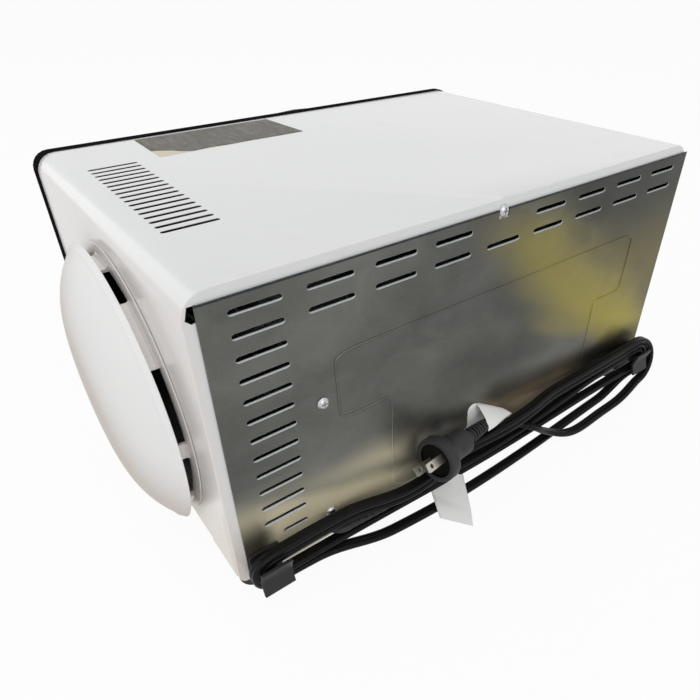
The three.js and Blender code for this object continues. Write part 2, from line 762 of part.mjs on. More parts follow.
function knob(name, z) {
  const back = plateFace - gap;
  const grip = knobRadius * knobGripShare;
  const profile = [
    [0, back - knobLong], [grip - controlPlateThick, back - knobLong],
    [grip, back - knobLong + controlPlateThick], [grip, back - knobSkirt],
    [knobRadius, back - knobSkirt / 2], [knobRadius, back],
    [knobShaft, back], [knobShaft, back + knobReach], [0, back + knobReach],
  ];
  const wing = alongY(shape(roundedBox(controlX - controlPlateThick, z, controlX + controlPlateThick,
    z + grip)), back - knobLong - controlPlateThick, back - knobSkirt);
  add(name, join(turnedY(profile, controlX, z), wing), blackPlastic());
}

function device(name, z, wide, high, deep) {
  const back = frameBack;
  const bore = knobShaft + gap;
  add(name, alongY(shape(
    roundedBox(controlX - wide / 2, z - high / 2, controlX + wide / 2, z + high / 2),
    circle(controlX, z, bore, smallSides)), back, back + deep), darkSteel());
}

const deviceSizes = { timer: [42, 38, 30], function_switch: [30, 34, 26], thermostat: [34, 30, 22] };

function controls() {
  controlPanel();
  Object.entries(deviceSizes).forEach(([name, [wide, high, deep]], i) => {
    device(name, knobHeights[i], wide, high, deep);
  });
  ['timer_knob', 'function_knob', 'temperature_knob'].forEach((name, i) => knob(name, knobHeights[i]));
  const bezel = lampRadius + openingMargin;
  add('pilot_lamp', turnedY([
    [0, plateFace - lampProud], [lampRadius / 2, plateFace - lampProud],
    [lampRadius, plateFace - lampProud / 2], [bezel, plateFace - lampProud / 2],
    [bezel, plateFace - gap], [lampRadius, plateFace - gap],
    [lampRadius, plateFace + lampBack], [0, plateFace + lampBack],
  ], controlX, lampZ, smallSides), amber());
}

// Fan: guard, blades, shaft and cooling blades; the motor's core, coil and bracket stand still
function bracketCorners() {
  const y = bracketWide / 2 - 2 * standoffRadius;
  const z = bracketHigh / 2 - 2 * standoffRadius;
  return [[-y, -z], [y, -z], [y, z], [-y, z]].map(([a, b]) => [fanY + a, fanZ + b]);
}

const guardFrom = cavityRight + sheet + gap;
const housingFrom = guardFrom + sheet + gap;
const housingBack = housingFrom + housingDeep;
const bladeBack = housingBack - sheet - bladeStand;

// The guard is a slotted disc held between the cavity's wall and the cup's flange
function fanGuard() {
  const rim = housingRadius + housingFlange;
  const inner = hubRadius + guardSlotWide;
  const outer = housingRadius - guardSlotWide;
  const slots = Array.from({ length: guardSlots }, (_, i) => {
    const made = alongX(shape(slot((inner + outer) / 2, 0, outer - inner, guardSlotWide)),
      guardFrom - overrun, guardFrom + overrun);
    return made.rotateX((2 * Math.PI * i) / guardSlots).translate(0, fanY, fanZ);
  });
  const disc = alongX(shape(circle(fanY, fanZ, rim, 2 * roundSides)), guardFrom, guardFrom + sheet);
  add('fan_guard', cut(solid(disc), ...slots), galvanised());
}

function fanHousing() {
  const rim = housingRadius + housingFlange;
  const bore = shaftRadius + airGap;
  add('fan_housing', turnedX([
    [bore, housingBack - sheet], [housingRadius - sheet, housingBack - sheet],
    [housingRadius - sheet, housingFrom], [rim, housingFrom], [rim, housingFrom + sheet],
    [housingRadius, housingFrom + sheet], [housingRadius, housingBack], [bore, housingBack],
    [bore, housingBack - sheet],
  ], fanY, fanZ, 2 * roundSides), galvanised());
}

// Blades stand square on a thin disc and lean back from the turn
function bladeWheel(inner, outer, face, deep, count, thick) {
  return Array.from({ length: count }, (_, i) => {
    const made = alongX(shape(roundedBox(inner, -thick / 2, outer, thick / 2)), face, face + deep);
    return made.rotateX((2 * Math.PI * i) / count).translate(0, fanY, fanZ);
  });
}

const coreFrom = housingBack + bracketStand + bracketThick + gap;
const coreTo = coreFrom + coreThick;
const coolerFrom = coreTo + coolerStand;

function fanBlade() {
  const back = bladeBack;
  const disc = turnedX([
    [0, back - sheet], [bladeRadius, back - sheet], [bladeRadius, back], [0, back],
  ], fanY, fanZ, 2 * smallSides);
  const hub = turnedX([
    [0, back - bladeDeep], [hubRadius, back - bladeDeep], [hubRadius, back], [0, back],
  ], fanY, fanZ, smallSides);
  const blades = bladeWheel(hubRadius - sheet, bladeRadius - sheet, back - bladeDeep, bladeDeep, bladeCount,
    2 * sheet);
  const bore = alongX(shape(circle(fanY, fanZ, shaftRadius + gap, smallSides)),
    back - bladeDeep - overrun, back + overrun);
  add('fan_blade', cut(join(disc, hub, ...blades), bore), steel());
}

function fanShaft() {
  const tip = bladeBack - bladeDeep;
  const rotor = boreRadius - airGap;
  add('fan_shaft', turnedX([
    [0, tip], [shaftRadius, tip], [shaftRadius, coreFrom], [rotor, coreFrom], [rotor, coreTo],
    [shaftRadius, coreTo], [shaftRadius, coolerFrom + coolerStand], [0, coolerFrom + coolerStand],
  ], fanY, fanZ, smallSides), steel());
}

function coolingBlade() {
  const from = coolerFrom;
  const hub = turnedX([
    [0, from], [hubRadius, from], [hubRadius, from + coolerStand], [0, from + coolerStand],
  ], fanY, fanZ, smallSides);
  const disc = turnedX([
    [0, from], [coolerRadius, from], [coolerRadius, from + coolerThick], [0, from + coolerThick],
  ], fanY, fanZ, 2 * smallSides);
  const blades = bladeWheel(hubRadius - sheet, coolerRadius - sheet, from, coolerStand, bladeCount,
    coolerThick);
  const bore = alongX(shape(circle(fanY, fanZ, shaftRadius + gap, smallSides)),
    from - overrun, from + coolerStand + overrun);
  add('cooling_blade', cut(join(hub, disc, ...blades), bore), darkSteel());
}

function motorBracket() {
  const from = housingBack + bracketStand;
  const low = fanZ - bracketHigh / 2;
  const plate = alongX(shape(
    roundedBox(fanY - bracketWide / 2, low, fanY + bracketWide / 2,
      fanZ + bracketHigh / 2, standoffRadius),
    circle(fanY, fanZ, shaftRadius + gap, smallSides)), from, from + bracketThick);
  const legs = bracketCorners().map(([y, z]) => alongX(
    shape(circle(y, z, standoffRadius, smallSides)), housingBack + gap, from + sheet));
  const coilGate = alongX(shape(roundedBox(fanY - coilWide / 2 - overrun, low - overrun,
    fanY + coilWide / 2 + overrun, coilTop + overrun)), from - overrun, from + bracketThick + overrun);
  add('motor_bracket', cut(join(plate, ...legs), coilGate), galvanised());
}

function motorCore() {
  const low = fanZ - coreDown;
  const window = roundedBox(fanY - windowWide / 2, low + limbHigh, fanY + windowWide / 2,
    low + limbHigh + windowHigh);
  add('motor_core', alongX(shape(
    roundedBox(fanY - coreWide / 2, low, fanY + coreWide / 2, fanZ + coreUp, windowHigh / 2, 0),
    circle(fanY, fanZ, boreRadius), window), coreFrom, coreTo), darkSteel());
}

const coilThick = windowHigh - 2 * gap;
const coilTop = fanZ - coreDown + limbHigh + gap + coilThick;

// The coil is a square sleeve round the core's lower limb
function motorCoil() {
  const low = fanZ - coreDown;
  const sleeve = (extra) => roundedBox(coreFrom - gap - extra, low - gap - extra,
    coreTo + gap + extra, low + limbHigh + gap + extra);
  const outline = shape(sleeve(coilThick), sleeve(0));
  const made = alongY(outline, fanY - coilWide / 2, fanY + coilWide / 2);
  add('motor_coil', made, copper());
}

// Neck and dish of the fan cover; the neck ends under the dish's inner face
const coverRim = shellRight + coverStand;
const coverBulgeAt = (radius, rim, bulge) => coverRim + bulge * (1 - (radius / rim) ** coverPower);

function ventRing() {
  const from = shellRight + gap;
  const to = coverBulgeAt(neckRadius, coverRadius - coverWall, coverBulge - coverWall) - coverSeat;
  const inner = neckRadius - neckWall;
  const inside = shellRight - sheet - flareThick;
  const ring = turnedX([
    [inner, inside], [inner, to], [neckRadius, to],
    [neckRadius, from + flareThick * 2], [neckRadius + flareThick, from + flareThick],
    [flareRadius, from + flareThick / 2], [flareRadius, from], [neckRadius - neckWall / 2, from],
    [neckRadius - neckWall / 2, inside], [inner, inside],
  ], fanY, fanZ, 2 * roundSides);
  const vent = (degrees, share) => {
    const half = Math.PI * share;
    const outline = [
      ...arc(0, 0, neckRadius + overrun, -half, half), ...arc(0, 0, inner - overrun, half, -half)];
    return alongX(shape(outline), coverRim - ventMargin - ventHigh, coverRim - ventMargin)
      .rotateX((degrees * Math.PI) / 180).translate(0, fanY, fanZ);
  };
  add('vent_ring', cut(solid(ring),
    ...wideVentAngles.map((degrees) => vent(degrees, wideVentShare)),
    ...narrowVentAngles.map((degrees) => vent(degrees, narrowVentShare))), whitePaint());
}

function fanCover() {
  const dish = (rim, bulge) => Array.from({ length: dishSteps + 1 }, (_, i) => {
    const radius = rim * Math.sin((Math.PI * i) / (2 * dishSteps));
    return [radius, coverBulgeAt(radius, rim, bulge)];
  });
  const inner = dish(coverRadius - coverWall, coverBulge - coverWall);
  const outer = dish(coverRadius, coverBulge).reverse();
  add('fan_cover', turnedX([...inner, ...outer], fanY, fanZ, 2 * roundSides), whitePaint());
}

// Feet and screws
function feet() {
  const xs = { left: shellLeft + footInset, right: shellRight - footInset };
  const ys = { front: frameBack + footInset, rear: lipFace - footInset };
  Object.entries(xs).forEach(([side, x]) => Object.entries(ys).forEach(([end, y]) => {
    const made = new THREE.CylinderGeometry(footTopRadius, footRadius, footHigh - gap, roundSides);
    made.rotateX(Math.PI / 2).translate(x, y, (footHigh - gap) / 2);
    add(`foot_${end}_${side}`, made, blackPlastic());
  }));
}

// Pan-head screw with a cross in its head, driven from behind
function screw(name, [x, z], face) {
  const profile = [
    [0, face - screwLong], [screwShank, face - screwLong], [screwShank, face + gap],
    [screwHead, face + gap],
    ...screwCrownShares.map((share, i) => [screwHead * share, face + (screwHeadHigh * (i + 1)) / 2]),
    [0, face + screwHeadHigh],
  ];
  const arm = screwHead / 2;
  const cross = [[arm, screwSlot / 2], [screwSlot / 2, arm]].map(([a, b]) => alongY(
    shape(roundedBox(x - a, z - b, x + a, z + b)),
    face + screwHeadHigh / 2, face + screwHeadHigh + overrun));
  add(name, cut(solid(turnedY(profile, x, z, smallSides)), ...cross), steel());
}

function screws() {
  screw('panel_screw_upper', upperScrew, 0);
  screw('panel_screw_lower', lowerScrew, 0);
  screw('tab_screw', [tabX, panelTop - tabDrop], lipFace);
}

// Cleats: a base on the rear sheet, a neck, and a dished flange that keeps the cord on
function cleat(name, x) {
  const [low, high] = [cleatZ - cleatHigh / 2, cleatZ + cleatHigh / 2];
  const [left, right] = [x - cleatWide / 2, x + cleatWide / 2];
  const base = alongY(
    shape(roundedBox(left, low - cleatBaseDrop, right, high, cleatBase)), gap, gap + cleatBase);
  const neck = alongY(shape(circle(x, cleatZ, cleatNeck, smallSides)), gap, cleatStand - cleatDish);
  const peg = alongY(shape(circle(x, cleatZ, pegRadius, smallSides)), -sheet, gap + cleatBase);
  const dish = (y) => [low, cleatZ, high].map((z) => point(y - (z === cleatZ ? cleatDish : 0), z));
  const flange = alongX(shape([
    ...dish(cleatStand), ...dish(cleatStand - cleatFlange).reverse()]), left, right);
  add(name, join(base, neck, peg, flange), blackPlastic());
}

// Cord outlet: a low hood on the rear sheet whose mouth looks along the cord's first run
function cordOutlet() {
  const from = outletX + gap;
  const half = cordWide / 2 + outletWall;
  const profile = shape(roundedBox(gap, cleatZ - outletWall - cordThick / 2,
    cordY + half, cleatZ + outletWall + cordThick / 2, outletWall));
  const hood = alongX(profile, from, from + outletLong);
  const stub = alongY(shape(circle(outletX + outletLong / 2, cleatZ, outletStub, smallSides)),
    -sheet, cordY);
  add('cord_outlet', join(hood, stub), blackPlastic());
}

// Sweep of a section along points. The section's first axis keeps as near to Y as the run
// allows, as a flat cord lies when it is wound, or, for paper, stands square to X. Its second
// axis is square to both.
const besideY = (run) => unitY.clone().addScaledVector(run, -unitY.dot(run)).normalize();
const squareToX = (run) => unitX.clone().cross(run).normalize();
const ovalSection = (wide, thick, sides) =>
  circle(0, 0, 1, sides).map(({ x, y }) => point((x * wide) / 2, (y * thick) / 2));

function flatTube(points, section, acrossOf = besideY) {
  const sides = section.length;
  const positions = [];
  points.forEach((at, i) => {
    const before = points[Math.max(i - 1, 0)];
    const after = points[Math.min(i + 1, points.length - 1)];
    const run = after.clone().sub(before).normalize();
    const across = acrossOf(run);
    const up = new THREE.Vector3().crossVectors(run, across);
    section.forEach(({ x, y }) => positions.push(...at.clone()
      .addScaledVector(across, x).addScaledVector(up, y).toArray()));
  });
  const faces = [];
  for (let i = 0; i + 1 < points.length; i += 1) {
    for (let k = 0; k < sides; k += 1) {
      const next = (k + 1) % sides;
      const [a, b, c, d] = [i * sides + k, i * sides + next, (i + 1) * sides + k, (i + 1) * sides + next];
      faces.push(a, b, d, a, d, c);
    }
  }
  const last = (points.length - 1) * sides;
  for (let k = 1; k + 1 < sides; k += 1) {
    faces.push(0, k + 1, k, last, last + k, last + k + 1);
  }
  const made = new THREE.BufferGeometry();
  made.setAttribute('position', new THREE.Float32BufferAttribute(positions, 3));
  made.setIndex(faces);
  return made;
}

// The turns lie on each other in layers. Each runs over the top to the far cleat, round it,
// back below and round the control side's cleat; the second lower run lies on the floor.
const ease = (share) => share * share * (3 - 2 * share);
const acrossShare = (x) => (cleatX - x) / (2 * cleatX);
const slack = (x) => (1 - (x / cleatX) ** 2) ** 3;
const hump = (x, middle, half) => Math.max(0, 1 - ((x - middle) / half) ** 2) ** 2;

function upperRun(x, turn) {
  const left = leftTurnRadius + (turn - 1) * layer;
  const right = rightTurnRadius + turn * layer;
  const taut = cleatZ + left + (right - left) * acrossShare(x);
  const dip = hump(x, dipMiddle, dipHalf);
  if (turn === 0) return [cordY, taut - firstSag * slack(x) - firstDip * dip];
  return [cordY + tuckBow * hump(x, tuckMiddle, tuckHalf) + dipBow * dip,
    taut - runSag * hump(x, sagMiddle, sagHalf) - runDip * dip];
}

// The first run leaves the outlet a little lower than the layer that it soon joins
function firstRun(x) {
  const near = Math.max(0, 1 - (outletX - x) / outletBlend);
  const [y, z] = upperRun(x, 0);
  return [y, z + (cleatZ - upperRun(outletX, 0)[1]) * ease(near)];
}

function lowerRun(x, turn) {
  const left = leftTurnRadius + turn * layer;
  const right = rightTurnRadius + turn * layer;
  const taut = cleatZ - left - (right - left) * acrossShare(x);
  if (turn === 0) return [cordY, taut - lowerSag * slack(x)];
  const [hold, long] = x > 0 ? [fallHold, fallLong] : [farHold, farLong];
  const fall = ease(Math.min(1, Math.max(0, (cleatX - hold - Math.abs(x)) / long)));
  const bow = hump(x, bowMiddle, x > bowMiddle ? bowNear : bowFar);
  return [cordY + floorBow * bow, taut + (floorRise - taut) * fall];
}

function windingPoints() {
  const made = [];
  const put = (x, y, z) => made.push(new THREE.Vector3(x, y, z));
  const bend = (x, radius, from, swing = 0) => {
    for (let i = 1; i < bendSteps; i += 1) {
      const angle = from + (Math.PI * i) / bendSteps;
      put(x + radius * Math.cos(angle), cordY + swing * ease(i / bendSteps),
        cleatZ + radius * Math.sin(angle));
    }
  };
  put(outletX, cordY, cleatZ);
  for (let turn = 0; turn < windingTurns; turn += 1) {
    const start = turn === 0 ? outletX - cordWide : cleatX;
    for (let i = 0; i <= runSteps; i += 1) {
      const x = start - ((start + cleatX) * i) / runSteps;
      put(x, ...(turn === 0 ? firstRun(x) : upperRun(x, turn)));
    }
    const outer = rightTurnRadius + turn * layer;
    const last = turn + 1 === windingTurns;
    bend(-cleatX, outer, Math.PI / 2, last ? lastSwing : 0);
    if (last) {
      const [y, z] = [cordY + lastSwing, cleatZ - outer];
      put(-cleatX, y, z);
      put(-cleatX + cordWide, y + endSlope[0], z + endSlope[1]);
      break;
    }
    for (let i = 0; i <= runSteps; i += 1) {
      const x = -cleatX + (2 * cleatX * i) / runSteps;
      put(x, ...lowerRun(x, turn));
    }
    bend(cleatX, leftTurnRadius + turn * layer, -Math.PI / 2);
  }
  return made;
}

// Free end, from the far cleat along the floor and up to the plug; points chosen by hand
const tailPoints = [
  [-177.7, 19.45, 6.97], [-170, 20.8, 6.2], [-161, 22.1, 4.9], [-150, 23, 3.6], [-138, 23.3, 2.9],
  [-124, 23.6, 2.7], [-110, 24.5, 2.7], [-98, 25.1, 2.7], [-88, 25, 3], [-79, 24, 4.4], [-70, 22.2, 7.4],
  [-59, 18.4, 12.8], [-50, 17.6, 18.5], [-42.5, 17.8, 25], [-36, 15.5, 29], [-30.5, 10.6, 30.4],
  [-25.5, 6.6, 32.2], [-20.5, 5.1, 35.6], [-15.5, 5, 39.8], [-9.7, 5.1, 43.9], [-3.2, 7, 47.2],
  [3.4, 9.6, 49.4], [9.5, 10.93, 50.17],
].map(([x, y, z]) => new THREE.Vector3(x, y, z));

// Closest approach of a wound cord to itself, along its own points, leaving out neighbours
function leastSelfGap(points, wide, thick) {
  const fine = points.slice(1).flatMap((to, i) => Array.from({ length: gapSamples }, (_, k) =>
    points[i].clone().lerp(to, k / gapSamples)));
  const travelled = [0];
  fine.slice(1).forEach((at, i) => travelled.push(travelled[i] + at.distanceTo(fine[i])));
  let least = Infinity;
  for (let i = 0; i < fine.length; i += 1) {
    for (let j = i + 1; j < fine.length; j += 1) {
      const beside = Math.abs(fine[i].y - fine[j].y) < wide;
      const away = Math.hypot(fine[i].x - fine[j].x, fine[i].z - fine[j].z);
      if (beside && travelled[j] - travelled[i] > 4 * wide) least = Math.min(least, away - thick);
    }
  }
  return { least, length: travelled[travelled.length - 1] };
}

function cord() {
  const winding = windingPoints();
  const measured = leastSelfGap(winding, cordWide, cordThick);
  console.log(`cord winding: length ${measured.length.toFixed(0)} mm, least gap to itself `
    + `${measured.least.toFixed(2)} mm`);
  const tail = new THREE.CatmullRomCurve3(tailPoints, false, 'centripetal');
  console.log(`cord tail: length ${tail.getLength().toFixed(0)} mm`);
  add('cord_winding', flatTube(winding, ovalSection(cordWide, cordThick, windingSides)), blackPlastic());
  add('cord_tail', flatTube(tail.getSpacedPoints(tailSteps), ovalSection(cordWide, cordThick, tailSides)),
    blackPlastic());
}

// Plug: boot, grip, round guard with a recess, two blades with holes
const plug = new THREE.Group();
plug.position.set(...plugAt);
plug.quaternion.setFromUnitVectors(unitX, new THREE.Vector3(...plugAim).normalize());
plug.rotateX(THREE.MathUtils.degToRad(plugRoll));
body.add(plug);

function plugPieces() {
  const grip = bootLong + gripLong;
  const face = grip + guardDiscLong;
  const profile = [
    [0, gap], [bootSmall, gap], [bootLarge, bootLong], [gripWide, bootLong + bootLarge],
    [gripWide, grip], [guardDiscRadius, grip + guardDiscLong / 2], [guardDiscRadius, face],
    [recessRadius, face], [recessRadius - recessDeep / 2, face - recessDeep], [0, face - recessDeep],
  ];
  const sockets = [-1, 1].map((side) => alongX(shape(roundedBox(
    side * (bladePitch / 2) - bladeThick / 2 - gap, -bladeHigh / 2 - gap,
    side * (bladePitch / 2) + bladeThick / 2 + gap, bladeHigh / 2 + gap)),
  face - 2 * recessDeep, face + overrun));
  add('plug_body', cut(solid(turnedX(profile, 0, 0)), ...sockets), blackPlastic(), plug);
  const tip = face - recessDeep + bladeLong;
  ['a', 'b'].forEach((name, i) => {
    const y = (i - 0.5) * bladePitch;
    const outline = shape(
      roundedBox(face - 2 * recessDeep + gap, -bladeHigh / 2, tip, bladeHigh / 2, bladeThick),
      circle(tip - bladeHoleBack, 0, bladeHole, smallSides));
    add(`plug_blade_${name}`, alongY(outline, y - bladeThick / 2, y + bladeThick / 2), steel(), plug);
  });
}

// Tag: a leaf of paper on the rear sheet by the boot, whose tail hangs down behind the turns
// and comes out below them
function cordTag() {
  const corners = [[1, 1], [-1, 1], [-1, -1], [1, -1]];
  const section = corners.map(([a, b]) => point((a * tagThick) / 2, (b * tagWide) / 2));
  const run = new THREE.CatmullRomCurve3(
    tagPoints.map(([x, y, z]) => new THREE.Vector3(x, y, z)), false, 'centripetal');
  const leaf = alongY(shape(tagLeaf.map(([x, z]) => point(x, z))), gap, gap + tagThick);
  add('cord_tag', join(leaf, flatTube(run.getSpacedPoints(tagSteps), section, squareToX)), paper());
}

outerShell();
rearPanel();
basePan();
frontFrame();
cavityWalls();
heatingElements();
wireRack();
bakePan();
crumbTray();
doorFrame();
doorGlass();
doorHandle();
hingePins();
controls();
fanGuard();
fanHousing();
fanBlade();
fanShaft();
coolingBlade();
motorBracket();
motorCore();
motorCoil();
ventRing();
fanCover();
feet();
screws();
Object.entries(cleatPlaces).forEach(([name, x]) => cleat(`cord_cleat_${name}`, x));
cordOutlet();
cord();
plugPieces();
cordTag();

// Origin: middle of the footprint, without the cord and its plug
const coverReach = shellRight + coverStand + coverBulge;
const handleFront = handleY - handleRadius;
body.position.set(-(coverReach + frameLeft) / 2, -(handleFront + cleatStand) / 2, 0);

export default oven;
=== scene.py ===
import json
import math
from functools import partialmethod
import bpy
import bmesh
import numpy as np
from mathutils import Matrix, Vector

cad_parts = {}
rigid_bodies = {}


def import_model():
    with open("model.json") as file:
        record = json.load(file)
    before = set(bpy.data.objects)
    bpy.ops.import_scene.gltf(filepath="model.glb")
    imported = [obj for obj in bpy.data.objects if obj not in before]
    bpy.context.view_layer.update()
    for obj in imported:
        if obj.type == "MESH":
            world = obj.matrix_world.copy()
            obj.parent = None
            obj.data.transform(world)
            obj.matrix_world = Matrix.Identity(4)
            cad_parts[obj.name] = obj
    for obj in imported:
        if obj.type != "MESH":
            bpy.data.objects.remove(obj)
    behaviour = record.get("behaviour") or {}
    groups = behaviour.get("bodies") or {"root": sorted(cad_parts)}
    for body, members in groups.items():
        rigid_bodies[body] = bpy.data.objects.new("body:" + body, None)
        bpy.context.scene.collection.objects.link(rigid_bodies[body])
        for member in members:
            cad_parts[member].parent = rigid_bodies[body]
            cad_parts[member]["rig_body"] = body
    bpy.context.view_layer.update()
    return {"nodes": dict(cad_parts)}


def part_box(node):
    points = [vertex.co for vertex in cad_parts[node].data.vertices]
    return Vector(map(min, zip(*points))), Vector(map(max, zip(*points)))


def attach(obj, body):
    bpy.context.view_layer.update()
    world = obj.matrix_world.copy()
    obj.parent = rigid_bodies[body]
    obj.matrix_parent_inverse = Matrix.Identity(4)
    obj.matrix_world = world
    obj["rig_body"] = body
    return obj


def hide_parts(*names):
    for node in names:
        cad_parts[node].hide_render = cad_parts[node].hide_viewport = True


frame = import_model()


# One vector for each vertex or face of a mesh
def vectors(entries, field):
    values = np.empty(len(entries) * 3)
    entries.foreach_get(field, values)
    return values.reshape(-1, 3)


# Positions below are in millimetres from the rear sheet: its outer face is y = 0,
# its middle is x = 0 and the floor is z = 0. place() turns them into the frame's metres.
panelLow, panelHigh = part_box("rear_panel")
originX = (panelLow.x + panelHigh.x) / 2
originY = panelHigh.y
panelTop = panelHigh.z * 1000
shellPoints = vectors(frame["nodes"]["outer_shell"].data.vertices, "co")
shellTop = shellPoints[shellPoints[:, 1] < 0, 2].max() * 1000  # the screw tab at the rear is higher
shellSide = (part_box("outer_shell")[1].x - originX) * 1000
shellPlainSide = (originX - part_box("outer_shell")[0].x) * 1000


def place(points):
    points = np.asarray(points, dtype=float) / 1000
    return points + np.array([originX, originY, 0.0])


def addObject(name, data):
    made = bpy.data.objects.new(name, data)
    bpy.context.scene.collection.objects.link(made)
    return made


# Camera: fitted to the straight edges of the shell and the rear sheet

cameraView = {
    "eyeMm": (267.9, 230.4, 333.2),
    "yawDeg": 37.124,
    "pitchDeg": 35.125,
    "rollDeg": -0.282,
    "focalPx": 595.13,
    "centrePx": (383.41, 368.85),
    "imagePx": 700,
}


def makeCamera(view):
    yaw, pitch, roll = (math.radians(view[key]) for key in ("yawDeg", "pitchDeg", "rollDeg"))
    right = Vector((-math.cos(yaw), math.sin(yaw), 0))
    ahead = Vector((-math.sin(yaw) * math.cos(pitch), -math.cos(yaw) * math.cos(pitch), -math.sin(pitch)))
    up = right.cross(ahead)
    turnedRight = math.cos(roll) * right + math.sin(roll) * up
    turnedUp = math.cos(roll) * up - math.sin(roll) * right
    data = bpy.data.cameras.new("photoCamera")
    camera = addObject("photoCamera", data)
    turn = Matrix((turnedRight, turnedUp, -ahead)).transposed().to_4x4()
    camera.matrix_world = Matrix.Translation(Vector(place(view["eyeMm"]))) @ turn
    data.lens = view["focalPx"] * data.sensor_width / view["imagePx"]
    data.shift_x = (view["imagePx"] / 2 - view["centrePx"][0]) / view["imagePx"]
    data.shift_y = (view["centrePx"][1] - view["imagePx"] / 2) / view["imagePx"]
    data.clip_start = 0.01
    bpy.context.scene.camera = camera


makeCamera(cameraView)
print("camera made")


# Shader building: a wire is a socket that can be used in sums, a shader is a tree of nodes,
# and a finish is a material

class Wire:
    def __init__(self, shader, socket):
        self.shader = shader
        self.socket = socket

    def math(self, operation, other, swap=False):
        first, second = (other, self) if swap else (self, other)
        return self.shader.value("Math", {0: first, 1: second}, operation=operation)

    __add__ = __radd__ = partialmethod(math, "ADD")
    __sub__ = partialmethod(math, "SUBTRACT")
    __rsub__ = partialmethod(math, "SUBTRACT", swap=True)
    __mul__ = __rmul__ = partialmethod(math, "MULTIPLY")
    __truediv__ = partialmethod(math, "DIVIDE")
    __pow__ = partialmethod(math, "POWER")
    highest = partialmethod(math, "MAXIMUM")

    # A soft step from 0 to 1 that is half way at the edge
    def above(self, edge, soft):
        ends = {0: self, 1: edge - soft, 2: edge + soft, 3: 0.0, 4: 1.0}
        return self.shader.value("MapRange", ends, interpolation_type="SMOOTHSTEP")

    def below(self, edge, soft):
        return 1 - self.above(edge, soft)


class Shader:
    def __init__(self, tree):
        self.tree = tree
        self.tree.nodes.clear()

    def node(self, kind, inputs=None, **settings):
        made = self.tree.nodes.new("ShaderNode" + kind)
        for key, value in settings.items():
            setattr(made, key, value)
        for key, value in (inputs or {}).items():
            self.feed(made.inputs[key], value)
        return made

    def wire(self, node, output=0):
        return Wire(self, node.outputs[output])

    def value(self, kind, inputs=None, output=0, **settings):
        return self.wire(self.node(kind, inputs, **settings), output)

    def feed(self, socket, value):
        if isinstance(value, Wire):
            self.tree.links.new(value.socket, socket)
        else:
            socket.default_value = value

    # 1 where the stage itself is seen, also in a mirror or through a pane, 0 where it only lights
    def seen(self):
        path = self.node("LightPath")
        straight, mirrored, through = (
            self.wire(path, name) for name in ("Is Camera Ray", "Is Glossy Ray", "Is Transmission Ray"))
        return straight.highest(mirrored).highest(through)


class Finish(Shader):
    def __init__(self, name, **constants):
        self.material = bpy.data.materials.new(name)
        self.material.use_nodes = True
        super().__init__(self.material.node_tree)
        self.surface = self.node("BsdfPrincipled", constants)
        self.output = self.node("OutputMaterial", {"Surface": self.wire(self.surface)})
        self.objectPlace = self.value("TexCoord", None, "Object")

    def set(self, **values):
        for key, value in values.items():
            self.feed(self.surface.inputs[key.replace("_", " ")], value)

    # The place along one of the frame's axes, in millimetres
    def axis(self, name):
        return self.value("SeparateXYZ", {0: self.objectPlace}, name) * 1000

    def noise(self, scale, detail=2.0, rough=0.5, bend=0.0):
        size = scale if isinstance(scale, tuple) else (scale, scale, scale)
        spot = self.value("Mapping", {"Vector": self.objectPlace, "Scale": size})
        return self.value("TexNoise", {"Vector": spot, "Scale": 1.0, "Detail": detail, "Roughness": rough,
                                       "Distortion": bend})

    def mix(self, factor, first, second):
        first, second = (value if isinstance(value, Wire) else (*value, 1.0) for value in (first, second))
        return self.value("Mix", {0: factor, 6: first, 7: second}, 2, data_type="RGBA")

    def ramp(self, value, stops):
        made = self.node("ValToRGB", {0: value})
        elements = made.color_ramp.elements
        while len(elements) < len(stops):
            elements.new(1.0)
        for element, (position, color) in zip(elements, stops):
            element.position = position
            element.color = (*color, 1.0)
        return self.wire(made)

    def bump(self, height, depth, strength=1.0):
        self.set(Normal=self.value("Bump", {"Strength": strength, "Distance": depth, "Height": height}))


# Finishes. A pair under a name that ends in Over or Under is the edge of a soft step and half
# its width

shellBend = {"radius": 14.0, "low": 14.0}

coverSizes = {
    "centre": (0.0, -122.4, 99.7),
    "rimX": shellSide + 8.6,
    "radius": 94.8,
    "bulge": 22.5,
    "wall": 2.2,
    "power": 3.87,
    "bead": 0.6,
    "beadIn": 2.6,
    "beadWide": 1.1,
    "rimOut": 0.4,
}

enamelLook = {
    # top and side are one paint: the side is painted a warmer white than the top, a painted difference of
    # light
    "top": ((0.775, 0.785, 0.79), (0.80, 0.805, 0.80)),
    "side": ((0.80, 0.765, 0.745), (0.83, 0.80, 0.78)),
    "sideOver": (shellSide - 3, 4),
    "grime": (0.72, 0.70, 0.67),
    "grimeShare": 0.3,
    "grimeOver": (0.66, 0.1),
    # A painted beige reflection, darker than the paint, low on the control side
    "paintedShade": (0.76, 0.66, 0.54),
    "paintedShadeShare": 0.7,
    "paintedShadeUnder": (62, 34),
    # inside: near-black painted shade for the faces inside the shell
    "inside": (0.03, 0.03, 0.03),
    "depthOver": (0.24, 0.1),
    "rearUnder": (originY * 1000 - 2, 0.2),
}
